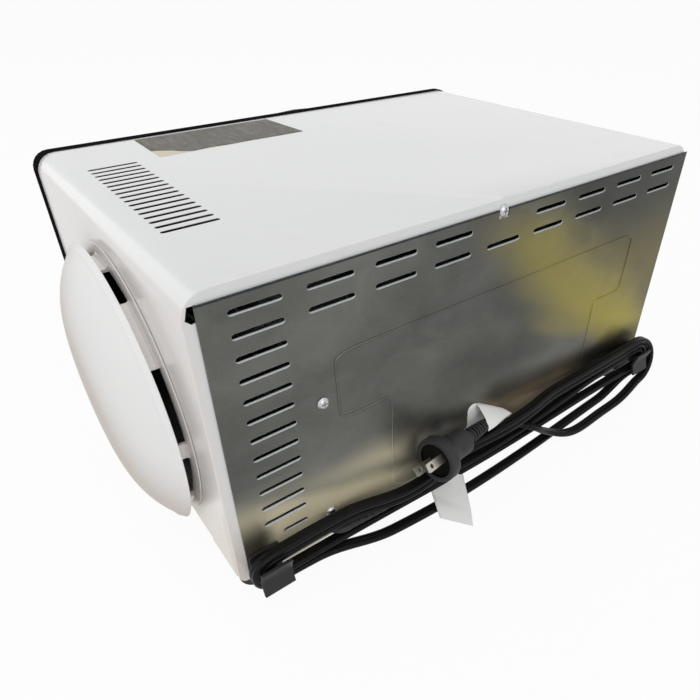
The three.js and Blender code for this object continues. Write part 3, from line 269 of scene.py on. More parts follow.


# Paint outside, and a near-black painted shade on the faces inside the shell: the depth below the
# shell's outline is radius - sqrt(cornerX ** 2 + cornerZ ** 2)
def whiteEnamel(look):
    paint = Finish("whiteEnamel", **{"Coat Roughness": 0.08})
    haze = paint.noise(7.0, 3.0)
    x, z = paint.axis("X") - originX * 1000, paint.axis("Z")
    radius = shellBend["radius"]
    cornerX = (x - shellSide + radius).highest(radius - shellPlainSide - x).highest(0)
    cornerZ = (z - shellTop + radius).highest(radius + shellBend["low"] - z).highest(0)
    depth = radius - (cornerX ** 2 + cornerZ ** 2) ** 0.5
    # Painted shade: the faces inside the shell, seen through the vents, are painted near black
    inside = depth.above(*look["depthOver"]) * paint.axis("Y").below(*look["rearUnder"])
    side = x.above(*look["sideOver"])
    grime = paint.noise(26.0, 5.0, 0.6).above(*look["grimeOver"]) * look["grimeShare"]
    # Painted reflection: the low part of the side is painted beige and darker
    paintedShade = side * z.below(*look["paintedShadeUnder"]) * look["paintedShadeShare"]
    # Painted light: the side gets a warmer white than the top
    color = paint.mix(side, paint.mix(haze, *look["top"]), paint.mix(haze, *look["side"]))
    color = paint.mix(paintedShade, paint.mix(grime, color, look["grime"]), look["paintedShade"])
    paint.set(Base_Color=paint.mix(inside, color, look["inside"]), Roughness=0.15 + 0.14 * haze)
    paint.set(Coat_Weight=(0.3 + 0.3 * haze) * (1 - side))
    paint.bump(paint.noise(60.0, 1.0), 0.0001, 0.3)
    return paint.material


coverLook = {
    "unshaded": ((0.88, 0.885, 0.88), (0.91, 0.905, 0.90)),
    "paintedShade": (0.66, 0.60, 0.55),
    "paintedShadeOver": (-0.5, 0.5),
}


# Painted shade: the cover is painted darker and beige towards its front and low rim
def coverEnamel(look):
    paint = Finish("coverEnamel", IOR=1.35, **{"Specular IOR Level": 0.03})
    haze = paint.noise(9.0, 3.0)
    forward = originY * 1000 + coverSizes["centre"][1] - paint.axis("Y")
    down = coverSizes["centre"][2] - paint.axis("Z")
    # Painted shade over the front and low half of the dish
    paintedShade = ((forward + down) / coverSizes["radius"]).above(*look["paintedShadeOver"])
    paint.set(Base_Color=paint.mix(paintedShade, paint.mix(haze, *look["unshaded"]), look["paintedShade"]))
    paint.set(Roughness=0.3 + 0.14 * haze)
    paint.bump(paint.noise(60.0, 1.0), 0.0001, 0.3)
    return paint.material


# grey, dark, pale and inside are the zinc's own tones; yellow, olive, beige and brown are painted
# reflections, deep and the seam colour painted shade
zincLook = {
    "grey": (0.115, 0.118, 0.108),
    "dark": (0.060, 0.060, 0.053),
    "pale": (0.20, 0.20, 0.18),
    "deep": (0.018, 0.018, 0.015),
    "yellow": (0.34, 0.285, 0.04),
    "olive": (0.15, 0.125, 0.035),
    "beige": (0.78, 0.70, 0.48),
    "brown": (0.23, 0.175, 0.105),
    "seamShadow": (0.012, 0.018, 0.026),
    "inside": [(0.2, (0.30, 0.315, 0.30)), (0.8, (0.52, 0.53, 0.52))],
}

# Steps on the sheet, in millimetres over its x, its height or a slanted line
zincSteps = {
    "band": (-17, 24), "bandEnd": (37, 18), "bandTop": (194, 22), "beyond": (-20, 26),
    "foot": (68, 24), "footSide": (72, 24), "streak": (-37, 7), "streakEnd": (-25, 7),
    "glow": (110, 60), "oliveTop": (165, 40), "deepFoot": (155, 36),
    "middleLeft": (-75, 45), "middleRight": (55, 45), "middleFoot": (80, 18), "middleTop": (135, 35),
    "brownTop": (64, 13), "brownLeft": (-112, 28), "brownRight": (20, 28),
    "shade": (58, 6), "shadeEnd": (77, 9), "shadeSide": (2, 15),
    "cornerSide": (182, 7), "cornerTop": (62, 14), "seamShadow": (panelTop - 0.9, 0.25),
}


# Zinc outside with painted light. A painted yellow reflection band runs down across the sheet, its place
# away = 0.655 * (x + 30) - 0.756 * (z - 190), and the low control side has a painted beige reflection
def zincWithPaintedLight():
    zinc, cloud, smudge, tone = zincGrain("zincSheet")

    def over(value, name):
        return value.above(*zincSteps[name])

    def under(value, name):
        return value.below(*zincSteps[name])

    height = zinc.axis("Z")
    x = zinc.axis("X") - originX * 1000 + (smudge - 0.5) * 26
    z = height + (cloud - 0.5) * 50
    away = (x + 30) * 0.655 - (z - 190) * 0.756
    narrowed = away + (z - 138).highest(0) * 0.2 + (110 - z).highest(0) * 0.3
    # Painted reflection: band is the yellow reflection band; beyond it the sheet is painted olive above and
    # dark below
    band = over(away, "band") * under(narrowed, "bandEnd") * under(height, "bandTop")
    beyond = under(away, "beyond")
    streak = over(x * 0.28 - z, "streak") * under(x * 0.28 - z, "streakEnd")
    # Painted reflection: glow lightens the lower sheet and the yellow band
    glow = under(z, "glow") * 0.35
    # Painted shade: middle darkens the middle of the sheet outside the band
    middle = (under(x, "middleRight") * over(x, "middleLeft") * under(z, "middleTop")
              * over(z, "middleFoot"))
    # Painted reflection: brown is a warm low band behind the cord, also less metallic
    brown = under(z, "brownTop") * under(x, "brownRight") * over(x, "brownLeft") * (0.5 + 0.8 * smudge)
    shade = over(z - x * 0.11, "shade") * under(z - x * 0.11, "shadeEnd") * under(x, "shadeSide")
    # Painted shade: corner darkens the low control-side corner and holds back the beige there
    corner = over(x, "cornerSide") * under(z, "cornerTop")
    # Painted reflection: beige lightens and warms the low control side, broken by a darker painted streak,
    # and makes it less metallic
    beige = (under(z, "foot") * over(x, "footSide") * (1 - 0.5 * streak) * (0.8 + 0.4 * tone)
             * (1 - 0.85 * corner))
    color = zinc.ramp(tone + glow * 0.1, [(0.30, zincLook["dark"]), (0.52, zincLook["grey"]),
                                          (0.78, zincLook["pale"])])
    # Painted reflections and shade over the zinc's own tones, each a mask with its share and a colour
    paintedLightMarks = [
        (middle * (1 - band) * 0.55, "deep"),
        (beyond * under(z, "oliveTop") * 0.8, "olive"),
        (beyond * over(z, "deepFoot") * 0.62, "deep"),
        (band * (0.25 + 0.6 * tone + glow * 1.2), "yellow"),
        (brown, "brown"),
        (shade * 0.72, "deep"),
        (corner * 0.8, "deep"),
        (beige, "beige"),
        # Painted shadow of the gap under the shell's lip: a dark strip along the sheet's top edge
        (over(height, "seamShadow") * 0.85, "seamShadow"),
    ]
    for share, name in paintedLightMarks:
        color = zinc.mix(share, color, zincLook[name])
    zinc.set(Base_Color=color, Metallic=0.92 - 0.75 * beige.highest(brown * 0.7))
    return zinc.material


def zincGrain(name):
    zinc = Finish(name)
    cloud = zinc.noise((5.0, 5.0, 7.0), 3.0, 0.5, 0.6)
    smudge = zinc.noise((26.0, 26.0, 34.0), 4.0, 0.6, 0.8)
    grain = zinc.noise(700.0, 2.0)
    zinc.set(Roughness=0.30 + 0.14 * cloud + 0.06 * grain)
    zinc.bump(grain * 0.5 + smudge * 0.5, 0.00006, 0.4)
    return zinc, cloud, smudge, cloud * 0.6 + smudge * 0.3 + grain * 0.1


def plainZinc():
    zinc, _, _, tone = zincGrain("zincInside")
    zinc.set(Base_Color=zinc.ramp(tone, zincLook["inside"]), Metallic=0.9)
    return zinc.material


# A finish of one or more noises. Each layer is a noise, its share of the tone between the low
# and the high colour, and its share of the roughness. The bump is a layer, a depth and a strength
def layered(name, low, high, rough, layers, bump=None, **constants):
    finish = Finish(name, **constants)
    noises = [finish.noise(*settings) for settings, _, _ in layers]
    tone = sum(noise * share for noise, (_, share, _) in zip(noises, layers))
    spread = sum(noise * share for noise, (_, _, share) in zip(noises, layers))
    finish.set(Base_Color=finish.mix(tone, low, high), Roughness=rough + spread)
    if bump:
        layer, depth, strength = bump
        finish.bump(noises[layer], depth, strength)
    return finish.material


def mouldedBlack(name, rough, grainMm, low=(0.014, 0.014, 0.016), high=(0.030, 0.029, 0.032), ior=1.35):
    layers = [((1000 / grainMm, 2.0), 0.3, 0.06), ((45.0, 4.0, 0.6), 0.7, 0.2)]
    return layered(name, low, high, rough, layers, (0, 0.00009, 0.45), IOR=ior)


def bareSteel(name, low, high, rough, scale=(900.0, 12.0, 900.0)):
    layers = [((scale, 3.0, 0.6), 0.6, 0.16), ((35.0, 3.0), 0.4, 0.1)]
    return layered(name, low, high, rough, layers, (0, 0.00003, 0.4), Metallic=1.0)


def doorPane():
    pane = Finish("doorPane", IOR=1.45)
    smear = pane.noise(22.0, 4.0, 0.6)
    pane.set(Base_Color=pane.mix(smear, (0.05, 0.052, 0.052), (0.09, 0.092, 0.09)))
    pane.set(Roughness=0.03 + 0.08 * smear.above(0.6, 0.12), Alpha=0.32 + 0.1 * smear)
    return pane.material


def tagPaper():
    paper = Finish("tagPaper")
    fibre = paper.noise(900.0, 3.0)
    crease = paper.noise(60.0, 4.0, 0.6)
    stain = crease.above(0.66, 0.06) * 0.4
    paper.set(Base_Color=paper.mix(stain, (0.975, 0.98, 0.965), (0.78, 0.73, 0.62)))
    paper.set(Roughness=0.72 + 0.1 * fibre)
    paper.bump(fibre * 0.3 + crease, 0.00025, 0.6)
    return paper.material


def labelFilm():
    film = Finish("labelFilm")
    haze = film.noise((30.0, 50.0, 30.0), 4.0, 0.65)
    worn = film.noise((260.0, 60.0, 60.0), 4.0, 0.7)
    film.set(Base_Color=film.ramp(haze * 0.4 + worn * 0.6, [
        (0.36, (0.055, 0.050, 0.038)), (0.5, (0.10, 0.094, 0.078)), (0.64, (0.165, 0.158, 0.135))]))
    film.set(Metallic=0.2 + 0.2 * haze, Roughness=0.42 + 0.15 * haze + 0.05 * film.noise(500.0, 2.0))
    film.bump(film.noise(45.0, 3.0), 0.0003, 0.35)
    return film.material


white = whiteEnamel(enamelLook)
coverWhite = coverEnamel(coverLook)
zinc = zincWithPaintedLight()
zincInside = plainZinc()
blackPaint = layered("frameBlack", (0.008, 0.008, 0.009), (0.015, 0.014, 0.016), 0.26,
                     [((30.0, 3.0), 1, 0.16), ((700.0, 1.0), 0, 0)], (1, 0.00008, 0.3),
                     IOR=1.3, **{"Specular IOR Level": 0.0})
blackPlastic = mouldedBlack("blackPlastic", 0.34, 0.5)
doorBlack = mouldedBlack("doorBlack", 0.18, 0.7, (0.010, 0.010, 0.011), (0.018, 0.018, 0.019), 1.3)
blackRubber = mouldedBlack("blackRubber", 0.6, 0.9)
cordVinyl = mouldedBlack("cordVinyl", 0.2, 1.6, (0.005, 0.005, 0.0055), (0.010, 0.010, 0.010), 1.2)
# Near-black painted shade for the plug's grooves and recess
plugPitShade = mouldedBlack("plugPitShade", 0.5, 0.6, (0.004, 0.004, 0.004), (0.008, 0.008, 0.008), 1.15)
plugVinyl = mouldedBlack("plugVinyl", 0.42, 0.6, (0.018, 0.018, 0.019), (0.046, 0.045, 0.045))
zincEdge = bareSteel("zincEdge", (0.74, 0.75, 0.72), (0.90, 0.90, 0.86), 0.38, 400.0)
slotLip = bareSteel("slotLip", (0.30, 0.33, 0.33), (0.42, 0.45, 0.45), 0.42, 400.0)
screwSteel = bareSteel("screwSteel", (0.42, 0.43, 0.43), (0.62, 0.63, 0.62), 0.24, 600.0)
nickelBlade = bareSteel("nickelBlade", (0.40, 0.38, 0.33), (0.63, 0.61, 0.55), 0.26)
plateSteel = bareSteel("plateSteel", (0.36, 0.365, 0.37), (0.56, 0.565, 0.57), 0.26, (14.0, 14.0, 1600.0))
rackWire = bareSteel("rackWire", (0.50, 0.51, 0.52), (0.68, 0.69, 0.70), 0.16, 300.0)
darkSteel = bareSteel("darkSteel", (0.045, 0.046, 0.05), (0.10, 0.10, 0.105), 0.36, 70.0)
pane = doorPane()
quartz = layered("frostedTube", (0.72, 0.69, 0.64), (0.50, 0.42, 0.34), 0.3,
                 [(((220.0, 3.0, 3.0), 1.0), 1, 0.2)])
amber = layered("lampLens", (0.55, 0.07, 0.015), (0.72, 0.15, 0.03), 0.12, [((180.0, 2.0), 1, 0.08)])
copper = layered("copperWire", (0.30, 0.11, 0.045), (0.62, 0.27, 0.11), 0.3,
                 [(((40.0, 40.0, 1400.0), 2.0), 1, 0.15)], (0, 0.0002, 1.0), Metallic=1.0)
paper = tagPaper()
film = labelFilm()
glue = layered("labelGlue", (0.66, 0.56, 0.40), (0.76, 0.71, 0.60), 0.45,
               [((120.0, 4.0, 0.7), 1, 0.3)], (0, 0.0003, 0.7))
paleInk = layered("paleMark", (0.70, 0.70, 0.69), (0.80, 0.80, 0.79), 0.4, [((300.0, 2.0), 1, 0.1)])
print("finishes made")


# Meshes from grids of points

def newPiece(name, vertices, faces, material, body="oven", smooth=35.0):
    mesh = bpy.data.meshes.new(name)
    mesh.from_pydata(vertices.tolist(), [], faces.tolist())
    piece = addObject(name, mesh)
    work = bmesh.new()
    work.from_mesh(mesh)
    bmesh.ops.remove_doubles(work, verts=work.verts, dist=1e-6)
    bmesh.ops.dissolve_degenerate(work, edges=work.edges, dist=1e-7)
    bmesh.ops.recalc_face_normals(work, faces=work.faces)
    work.to_mesh(mesh)
    work.free()
    mesh.shade_smooth()
    mesh.set_sharp_from_angle(angle=math.radians(smooth))
    mesh.materials.append(material)
    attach(piece, body)
    return piece


# Faces of a grid of rows by columns; a closed direction joins its last line to its first
def gridFaces(rows, columns, closeRows=False, closeColumns=False):
    row = np.arange(rows if closeRows else rows - 1)
    column = np.arange(columns if closeColumns else columns - 1)
    i, j = (part.ravel() for part in np.meshgrid(row, column, indexing="ij"))
    nextI, nextJ = (i + 1) % rows, (j + 1) % columns
    return np.stack([i * columns + j, i * columns + nextJ, nextI * columns + nextJ, nextI * columns + j], 1)


def gridPiece(name, points, material, closeRows=False, closeColumns=False, **settings):
    rows, columns = points.shape[:2]
    return newPiece(name, place(points.reshape(-1, 3)), gridFaces(rows, columns, closeRows, closeColumns),
                    material, **settings)


# A section carried along a path: point = path + across * s1 + up * s2, where across is the
# guide direction less its share along the path, and up is square to both. The section's
# middle closes both ends.
def sweptPoints(path, section, guide=(0, 1, 0), swell=1.0):
    path, section, guide = (np.asarray(part, dtype=float) for part in (path, section, guide))
    run = np.gradient(path, axis=0)
    run /= np.linalg.norm(run, axis=1, keepdims=True)
    across = guide - run * (run @ guide)[:, None]
    across /= np.linalg.norm(across, axis=1, keepdims=True)
    up = np.cross(run, across)
    swell = np.broadcast_to(swell, len(path))[:, None, None]
    body = (path[:, None, :] + across[:, None, :] * section[None, :, 0:1] * swell
            + up[:, None, :] * section[None, :, 1:2] * swell)
    middle = section.mean(axis=0)
    caps = path[[0, -1]] + across[[0, -1]] * middle[0] + up[[0, -1]] * middle[1]
    first, last = np.broadcast_to(caps[:, None, None, :], (2, 1, len(section), 3))
    return np.concatenate([first, body, last], axis=0)


def sweptPiece(name, path, section, material, guide=(0, 1, 0), swell=1.0, **settings):
    return gridPiece(name, sweptPoints(path, section, guide, swell), material, closeColumns=True, **settings)


# Lengths along a line, from 0 at its first point
def lengths(points):
    return np.concatenate([[0], np.cumsum(np.linalg.norm(np.diff(points, axis=0), axis=1))])


# Smooth line through given points: cubic between neighbours, by chord length
def smoothLine(points, step):
    points = np.asarray(points, dtype=float)
    chord = lengths(points)
    slope = np.gradient(points, chord, axis=0)
    along = np.linspace(0, chord[-1], max(2, int(chord[-1] / step)))
    k = np.clip(np.searchsorted(chord, along, side="right") - 1, 0, len(chord) - 2)
    width = (chord[k + 1] - chord[k])[:, None]
    t = (along[:, None] - chord[k][:, None]) / width
    return ((2 * t**3 - 3 * t**2 + 1) * points[k] + (t**3 - 2 * t**2 + t) * width * slope[k]
            + (3 * t**2 - 2 * t**3) * points[k + 1] + (t**3 - t**2) * width * slope[k + 1])


def circle(count):
    return np.linspace(0, 2 * np.pi, count, endpoint=False)


def thicken(piece, thickMm, offset=0.0):
    slab = piece.modifiers.new("thickness", "SOLIDIFY")
    slab.thickness = thickMm / 1000
    slab.offset = offset


# Lathe: profile of (radius, height) pairs turned about an axis through centre
def turnedPoints(profile, centre, axis, sides, shape=None):
    profile = np.asarray(profile, dtype=float)
    angle = circle(sides)
    scale = np.ones((len(profile), sides)) if shape is None else shape(profile, angle)
    a = np.cos(angle)[None, :] * profile[:, 0:1] * scale
    b = np.sin(angle)[None, :] * profile[:, 0:1] * scale
    along = np.broadcast_to(profile[:, 1:2], a.shape)
    order = {"x": (along, a, b), "y": (a, along, b)}[axis]
    return np.stack(order, axis=-1) + np.asarray(centre, dtype=float)


copyLimits = {"weld": 2e-6, "flatDeg": 0.4}


# A solid's own mesh, merged and bevelled, by angle or by the weights that edgeWeights gives.
# lips is a material and a test for the faces that have it
def finishedCopy(node, material, bevelMm, segments, angle=30.0, edgeWeights=None, lips=None):
    source = frame["nodes"][node]
    mesh = source.data.copy()
    mesh.materials.clear()
    mesh.materials.append(material)
    piece = addObject(node + "_finished", mesh)
    work = bmesh.new()
    work.from_mesh(mesh)
    bmesh.ops.remove_doubles(work, verts=work.verts, dist=copyLimits["weld"])
    bmesh.ops.dissolve_limit(work, angle_limit=math.radians(copyLimits["flatDeg"]), verts=work.verts,
                             edges=work.edges)
    for face in work.faces:
        face.material_index = 1 if lips and lips[1](face) else 0
    if edgeWeights:
        layer = work.edges.layers.float.new("bevel_weight_edge")
        for edge in work.edges:
            edge[layer] = edgeWeights(edge)
    work.to_mesh(mesh)
    work.free()
    for name in [entry.name for entry in mesh.attributes if entry.name.startswith("custom_normal")]:
        mesh.attributes.remove(mesh.attributes[name])
    mesh.shade_smooth()
    mesh.set_sharp_from_angle(angle=math.radians(angle))
    bevel = piece.modifiers.new("edges", "BEVEL")
    bevel.width = bevelMm / 1000
    bevel.segments = segments
    bevel.limit_method = "WEIGHT" if edgeWeights else "ANGLE"
    bevel.angle_limit = math.radians(angle)
    bevel.harden_normals = True
    if lips:
        mesh.materials.append(lips[0])
        bevel.material = 1
    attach(piece, source["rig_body"])
    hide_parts(node)
    return piece


def dress(node, material):
    mesh = frame["nodes"][node].data
    mesh.materials.clear()
    mesh.materials.append(material)
    mesh.polygons.foreach_set("material_index", np.zeros(len(mesh.polygons), dtype=np.int32))


# Cord: a flat twin lead, wound from the outlet round both cleats in layers, whose free end
# lies on the floor and comes up to the plug

cordSizes = {
    "wide": 8.0,
    "thick": 4.5,
    "groove": 0.2,
    "layer": 5.1,
    "y": 9.0,
    "outletX": 128.0,
    "outletBlend": 45.0,
    "cleatX": 186.0,
    "cleatZ": 27.0,
    "rightTurn": 9.0,
    "leftTurn": 6.9,
    "firstSag": 12.5,
    "sag": (5.5, 65.0, 95.0),
    "tuck": (5.2, -20.0, 55.0),
    "dip": (80.0, 50.0),
    "firstDip": 1.3,
    "runDip": 2.2,
    "dipBow": 5.0,
    "lowerSag": 4.5,
    "nearFall": (31.0, 58.0),
    "farFall": (6.0, 40.0),
    "floorRise": 2.7,
    "floorBow": 9.0,
    "bowMiddle": 30.0,
    "bowNear": 150.0,
    "bowFar": 215.0,
    "lastSwing": 9.0,
    "turns": 3,
}

tailRoute = [
    (-177.7, 19.45, 6.97), (-170, 20.8, 6.2), (-161, 22.1, 4.9), (-150, 23, 3.6), (-138, 23.3, 2.9),
    (-124, 23.6, 2.7), (-110, 24.5, 2.7), (-98, 25.1, 2.7), (-88, 25, 3), (-79, 24, 4.4), (-70, 22.2, 7.4),
    (-59, 18.4, 12.8), (-50, 17.6, 18.5), (-42.5, 17.8, 25), (-36, 15.5, 29), (-30.5, 10.6, 30.4),
    (-25.5, 6.6, 32.2), (-20.5, 5.1, 35.6), (-15.5, 5, 39.8), (-9.7, 5.1, 43.9), (-3.2, 7, 47.2),
    (3.4, 9.6, 49.4), (9.5, 10.93, 50.17),
]


def ease(share):
    return share * share * (3 - 2 * share)


# Heights of the runs over x: a straight line between the two turns, less a sag. The upper runs
# stand out where the free end is tucked behind them, and the second lower run comes down to
# the floor and swings out: share = (1 - ((x - middle) / half) ** 2) ** 2
def windingPath(sizes):
    cleatX, cleatZ, layer = sizes["cleatX"], sizes["cleatZ"], sizes["layer"]

    def slack(x):
        return (1 - (x / cleatX) ** 2) ** 3

    def hump(x, middle, half):
        return np.clip(1 - ((x - middle) / half) ** 2, 0, None) ** 2

    # Height of a straight run above or below the cleats' middles, from the turns that it joins
    def taut(x, side, leftTurn, rightTurn):
        left = sizes["leftTurn"] + leftTurn * layer
        right = sizes["rightTurn"] + rightTurn * layer
        return cleatZ + side * (left + (right - left) * (cleatX - x) / (2 * cleatX))

    def upper(x, turn):
        straight = taut(x, 1, turn - 1, turn)
        dip = hump(x, *sizes["dip"])
        if turn == 0:
            return sizes["y"] + 0 * x, straight - sizes["firstSag"] * slack(x) - sizes["firstDip"] * dip
        bow, middle, half = sizes["tuck"]
        sag, sagMiddle, sagHalf = sizes["sag"]
        return (sizes["y"] + bow * hump(x, middle, half) + sizes["dipBow"] * dip,
                straight - sag * hump(x, sagMiddle, sagHalf) - sizes["runDip"] * dip)

    def lower(x, turn):
        straight = taut(x, -1, turn, turn)
        if turn == 0:
            return sizes["y"] + 0 * x, straight - sizes["lowerSag"] * slack(x)
        hold, long = (np.where(x > 0, near, far) for near, far in zip(sizes["nearFall"], sizes["farFall"]))
        fall = ease(np.clip((cleatX - hold - np.abs(x)) / long, 0, 1))
        half = np.where(x > sizes["bowMiddle"], sizes["bowNear"], sizes["bowFar"])
        bow = hump(x, sizes["bowMiddle"], half)
        return sizes["y"] + sizes["floorBow"] * bow, straight + (sizes["floorRise"] - straight) * fall

    def bend(x, radius, start, swing=0.0):
        share = np.arange(1, 24) / 24
        angle = start + np.pi * share
        return np.stack([x + radius * np.cos(angle), sizes["y"] + swing * ease(share),
                         cleatZ + radius * np.sin(angle)], axis=1)

    parts = [np.array([[sizes["outletX"], sizes["y"], cleatZ]])]
    for turn in range(sizes["turns"]):
        start = sizes["outletX"] - sizes["wide"] if turn == 0 else cleatX
        x = np.linspace(start, -cleatX, 60)
        y, z = upper(x, turn)
        if turn == 0:
            near = np.clip(1 - (sizes["outletX"] - x) / sizes["outletBlend"], 0, None)
            z = z + (cleatZ - upper(np.array(sizes["outletX"]), 0)[1]) * ease(near)
        parts.append(np.stack([x, y, z], axis=1))
        outer = sizes["rightTurn"] + turn * layer
        last = turn + 1 == sizes["turns"]
        parts.append(bend(-cleatX, outer, np.pi / 2, sizes["lastSwing"] if last else 0.0))
        if last:
            parts.append(np.array([[-cleatX, sizes["y"] + sizes["lastSwing"], cleatZ - outer]]))
            break
        x = np.linspace(-cleatX, cleatX, 60)
        parts.append(np.stack([x, *lower(x, turn)], axis=1))
        parts.append(bend(cleatX, sizes["leftTurn"] + turn * layer, -np.pi / 2))
    return np.concatenate(parts)


# Section of the twin lead: two round cores side by side with a shallow groove between them
def twinSection(sizes, count=32):
    angle = circle(count)
    radius, reach = sizes["thick"] / 2, (sizes["wide"] - sizes["thick"]) / 2
    x = (sizes["wide"] / 2) * np.cos(angle)
    beyond = np.clip(np.abs(x) - reach, 0, radius)
    height = np.sqrt(radius**2 - beyond**2) * (1 - sizes["groove"] * np.exp(-((x / 0.7) ** 2)))
    return np.stack([x, height * np.sign(np.round(np.sin(angle), 9))], axis=1)


def evenPath(points, step):
    gaps = np.linalg.norm(np.diff(points, axis=0), axis=1)
    points = points[np.concatenate([[True], gaps > 0.2])]
    along = lengths(points)
    even = np.linspace(0, along[-1], int(along[-1] / step))
    return np.stack([np.interp(even, along, points[:, k]) for k in range(points.shape[1])], axis=1)


def softened(points, rounds):
    for _ in range(rounds):
        inner = 0.25 * points[:-2] + 0.5 * points[1:-1] + 0.25 * points[2:]
        points = np.concatenate([points[:1], inner, points[-1:]])
    return points


def makeCord():
    wound = windingPath(cordSizes)
    tail = smoothLine(tailRoute, 2.0)
    path = softened(evenPath(np.concatenate([wound, tail]), 3.0), 2)
    cord = sweptPiece("power_cord", path, twinSection(cordSizes), cordVinyl, smooth=50.0)
    length = lengths(path)[-1] / 1000
    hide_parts("cord_winding", "cord_tail")
    print(f"cord made, {length:.3f} m long")
    return cord, path, length


cord, cordPath, cordLength = makeCord()


# Strain relief: comes through the rear sheet, turns along the cord's first run and tapers
# down on to it. Its section is an oval, larger or smaller by the swell

reliefSizes = {
    "route": [(139.5, -0.6, 27), (139.3, 2.5, 27), (138.2, 5.6, 27), (135.6, 8, 27), (132, 9, 27)],
    "cordPoints": 10,
    "step": 0.4,
    "halfWide": 4.0,
    "halfThick": 2.5,
    "swell": 1.2,
    "taper": 0.14,
    "ribs": 8,
    "ribDeep": 0.06,
    "ribbed": (0.3, 0.95),
}


def makeRelief(sizes):
    line = smoothLine(np.concatenate([sizes["route"], cordPath[:sizes["cordPoints"]]]), sizes["step"])
    share = np.linspace(0, 1, len(line))
    first, last = sizes["ribbed"]
    wave = 0.5 + 0.5 * np.cos(2 * np.pi * sizes["ribs"] * share)
    ribs = sizes["ribDeep"] * wave**2 * (share > first) * (share < last)
    angle = circle(32)
    section = np.stack([sizes["halfWide"] * np.cos(angle), sizes["halfThick"] * np.sin(angle)], axis=1)
    relief = sweptPiece("strain_relief", line, section, blackPlastic, guide=(0.6, 0.8, 0),
                        swell=sizes["swell"] - sizes["taper"] * share - ribs, smooth=50.0)
    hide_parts("cord_outlet")
    print(f"strain relief made, {lengths(line)[-1]:.0f} mm long")


makeRelief(reliefSizes)


# Plug: boot with ribs, rounded body, round guard with a recess, two blades

plugSizes = {
    "at": (9.9, 11.0, 50.2),
    "aim": (0.982, 0.17, 0.08),
    "rollDeg": 45.0,
    "ribs": 6,
    "bootFrom": 0.4,
    "bootLong": 19.0,
    "bootRadius": 4.6,
    "bootSpread": 1.2,
    "ribDeep": 1.35,
    "gripRadius": 9.5,
    "guardRadius": 16.0,
    "flareFrom": 44.0,
    "flareTo": 51.0,
    "face": 58.0,
    "recessRadius": 12.2,
    "recessDeep": 2.9,
    "flat": 0.13,
    "flatBlend": 6.0,
    "grooveShort": 0.5,
    "grooveOver": 0.1,
    "pitBeyond": 0.15,
}


def plugFrame(sizes):
    aim = Vector(sizes["aim"]).normalized()
    turn = Vector((1, 0, 0)).rotation_difference(aim).to_matrix()
    return np.array(turn @ Matrix.Rotation(math.radians(sizes["rollDeg"]), 3, "X"))


# Radius over length: a ribbed cone, a smooth swell into the body, a flare into the guard,
# then the guard's rim and the recess in its face
def plugProfile(sizes):
    start, bootLong = sizes["bootFrom"], sizes["bootLong"]
    boot = np.linspace(start, bootLong, 80)
    wave = 0.5 + 0.5 * np.cos(2 * np.pi * sizes["ribs"] * boot / bootLong)
    ribbed = sizes["bootRadius"] + sizes["bootSpread"] * boot / bootLong - sizes["ribDeep"] * wave**1.5
    body = np.linspace(0, 1, 26)[1:]
    swell = ribbed[-1] + (sizes["gripRadius"] - ribbed[-1]) * ease(np.clip(body * 3.2, 0, 1))
    bodyAt = bootLong + body * (sizes["flareFrom"] - bootLong)
    flare = np.linspace(0, 1, 12)[1:]
    flareRadius = sizes["gripRadius"] + (sizes["guardRadius"] - sizes["gripRadius"]) * ease(flare)
    flareAt = sizes["flareFrom"] + flare * (sizes["flareTo"] - sizes["flareFrom"])
    face, guard, recess = sizes["face"], sizes["guardRadius"], sizes["recessRadius"]
    deep = face - sizes["recessDeep"]
    rim = [(guard, face - 1.2), (guard - 0.3, face - 0.4), (guard - 1.2, face), (recess + 0.7, face),
           (recess + 0.1, face - 0.3), (recess, deep + 0.4), (recess - 0.6, deep), (3, deep), (0, deep)]
    outer = np.concatenate([np.stack([ribbed, boot], 1), np.stack([swell, bodyAt], 1),
                            np.stack([flareRadius, flareAt], 1), np.array(rim)])
    return np.concatenate([[(0, start)], outer])


# The body between boot and guard is a little flattened on its two broad sides
def plugShape(profile, angle):
    x, blend = profile[:, 1:2], plugSizes["flatBlend"]
    rise = ease(np.clip((x - plugSizes["bootLong"]) / blend, 0, 1))
    share = rise * (1 - ease(np.clip((x - plugSizes["flareFrom"] + blend) / blend, 0, 1)))
    return 1 - plugSizes["flat"] * share * np.cos(angle)[None, :] ** 4


def makePlug():
    turn = plugFrame(plugSizes)
    local = turnedPoints(plugProfile(plugSizes), (0, 0, 0), "x", 56, plugShape)
    points = local.reshape(-1, 3) @ turn.T + np.array(plugSizes["at"])
    piece = newPiece("plug_moulding", place(points), gridFaces(*local.shape[:2], closeColumns=True),
                     plugVinyl, smooth=40.0)
    piece.data.materials.append(plugPitShade)
    centres = vectors(piece.data.polygons, "center")
    local = (centres * 1000 - place(np.array(plugSizes["at"])) * 1000) @ turn
    along, radius = local[:, 0], np.hypot(local[:, 1], local[:, 2])
    turns = plugSizes["ribs"] * along / plugSizes["bootLong"]
    onBoot = along < plugSizes["bootLong"] - plugSizes["grooveShort"]
    # Painted shade: the boot's grooves and the guard's recess get the near-black finish
    groove = onBoot & (np.cos(2 * np.pi * turns) > plugSizes["grooveOver"])
    inRecess = radius < plugSizes["recessRadius"] + plugSizes["pitBeyond"]
    pit = groove | (along > plugSizes["flareTo"]) & inRecess
    piece.data.polygons.foreach_set("material_index", pit.astype(np.int32))
    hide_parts("plug_body")
    blades = [finishedCopy(node, nickelBlade, 0.25, 3) for node in ("plug_blade_a", "plug_blade_b")]
    print("plug made")
    return [piece, *blades]


plugPieces = makePlug()


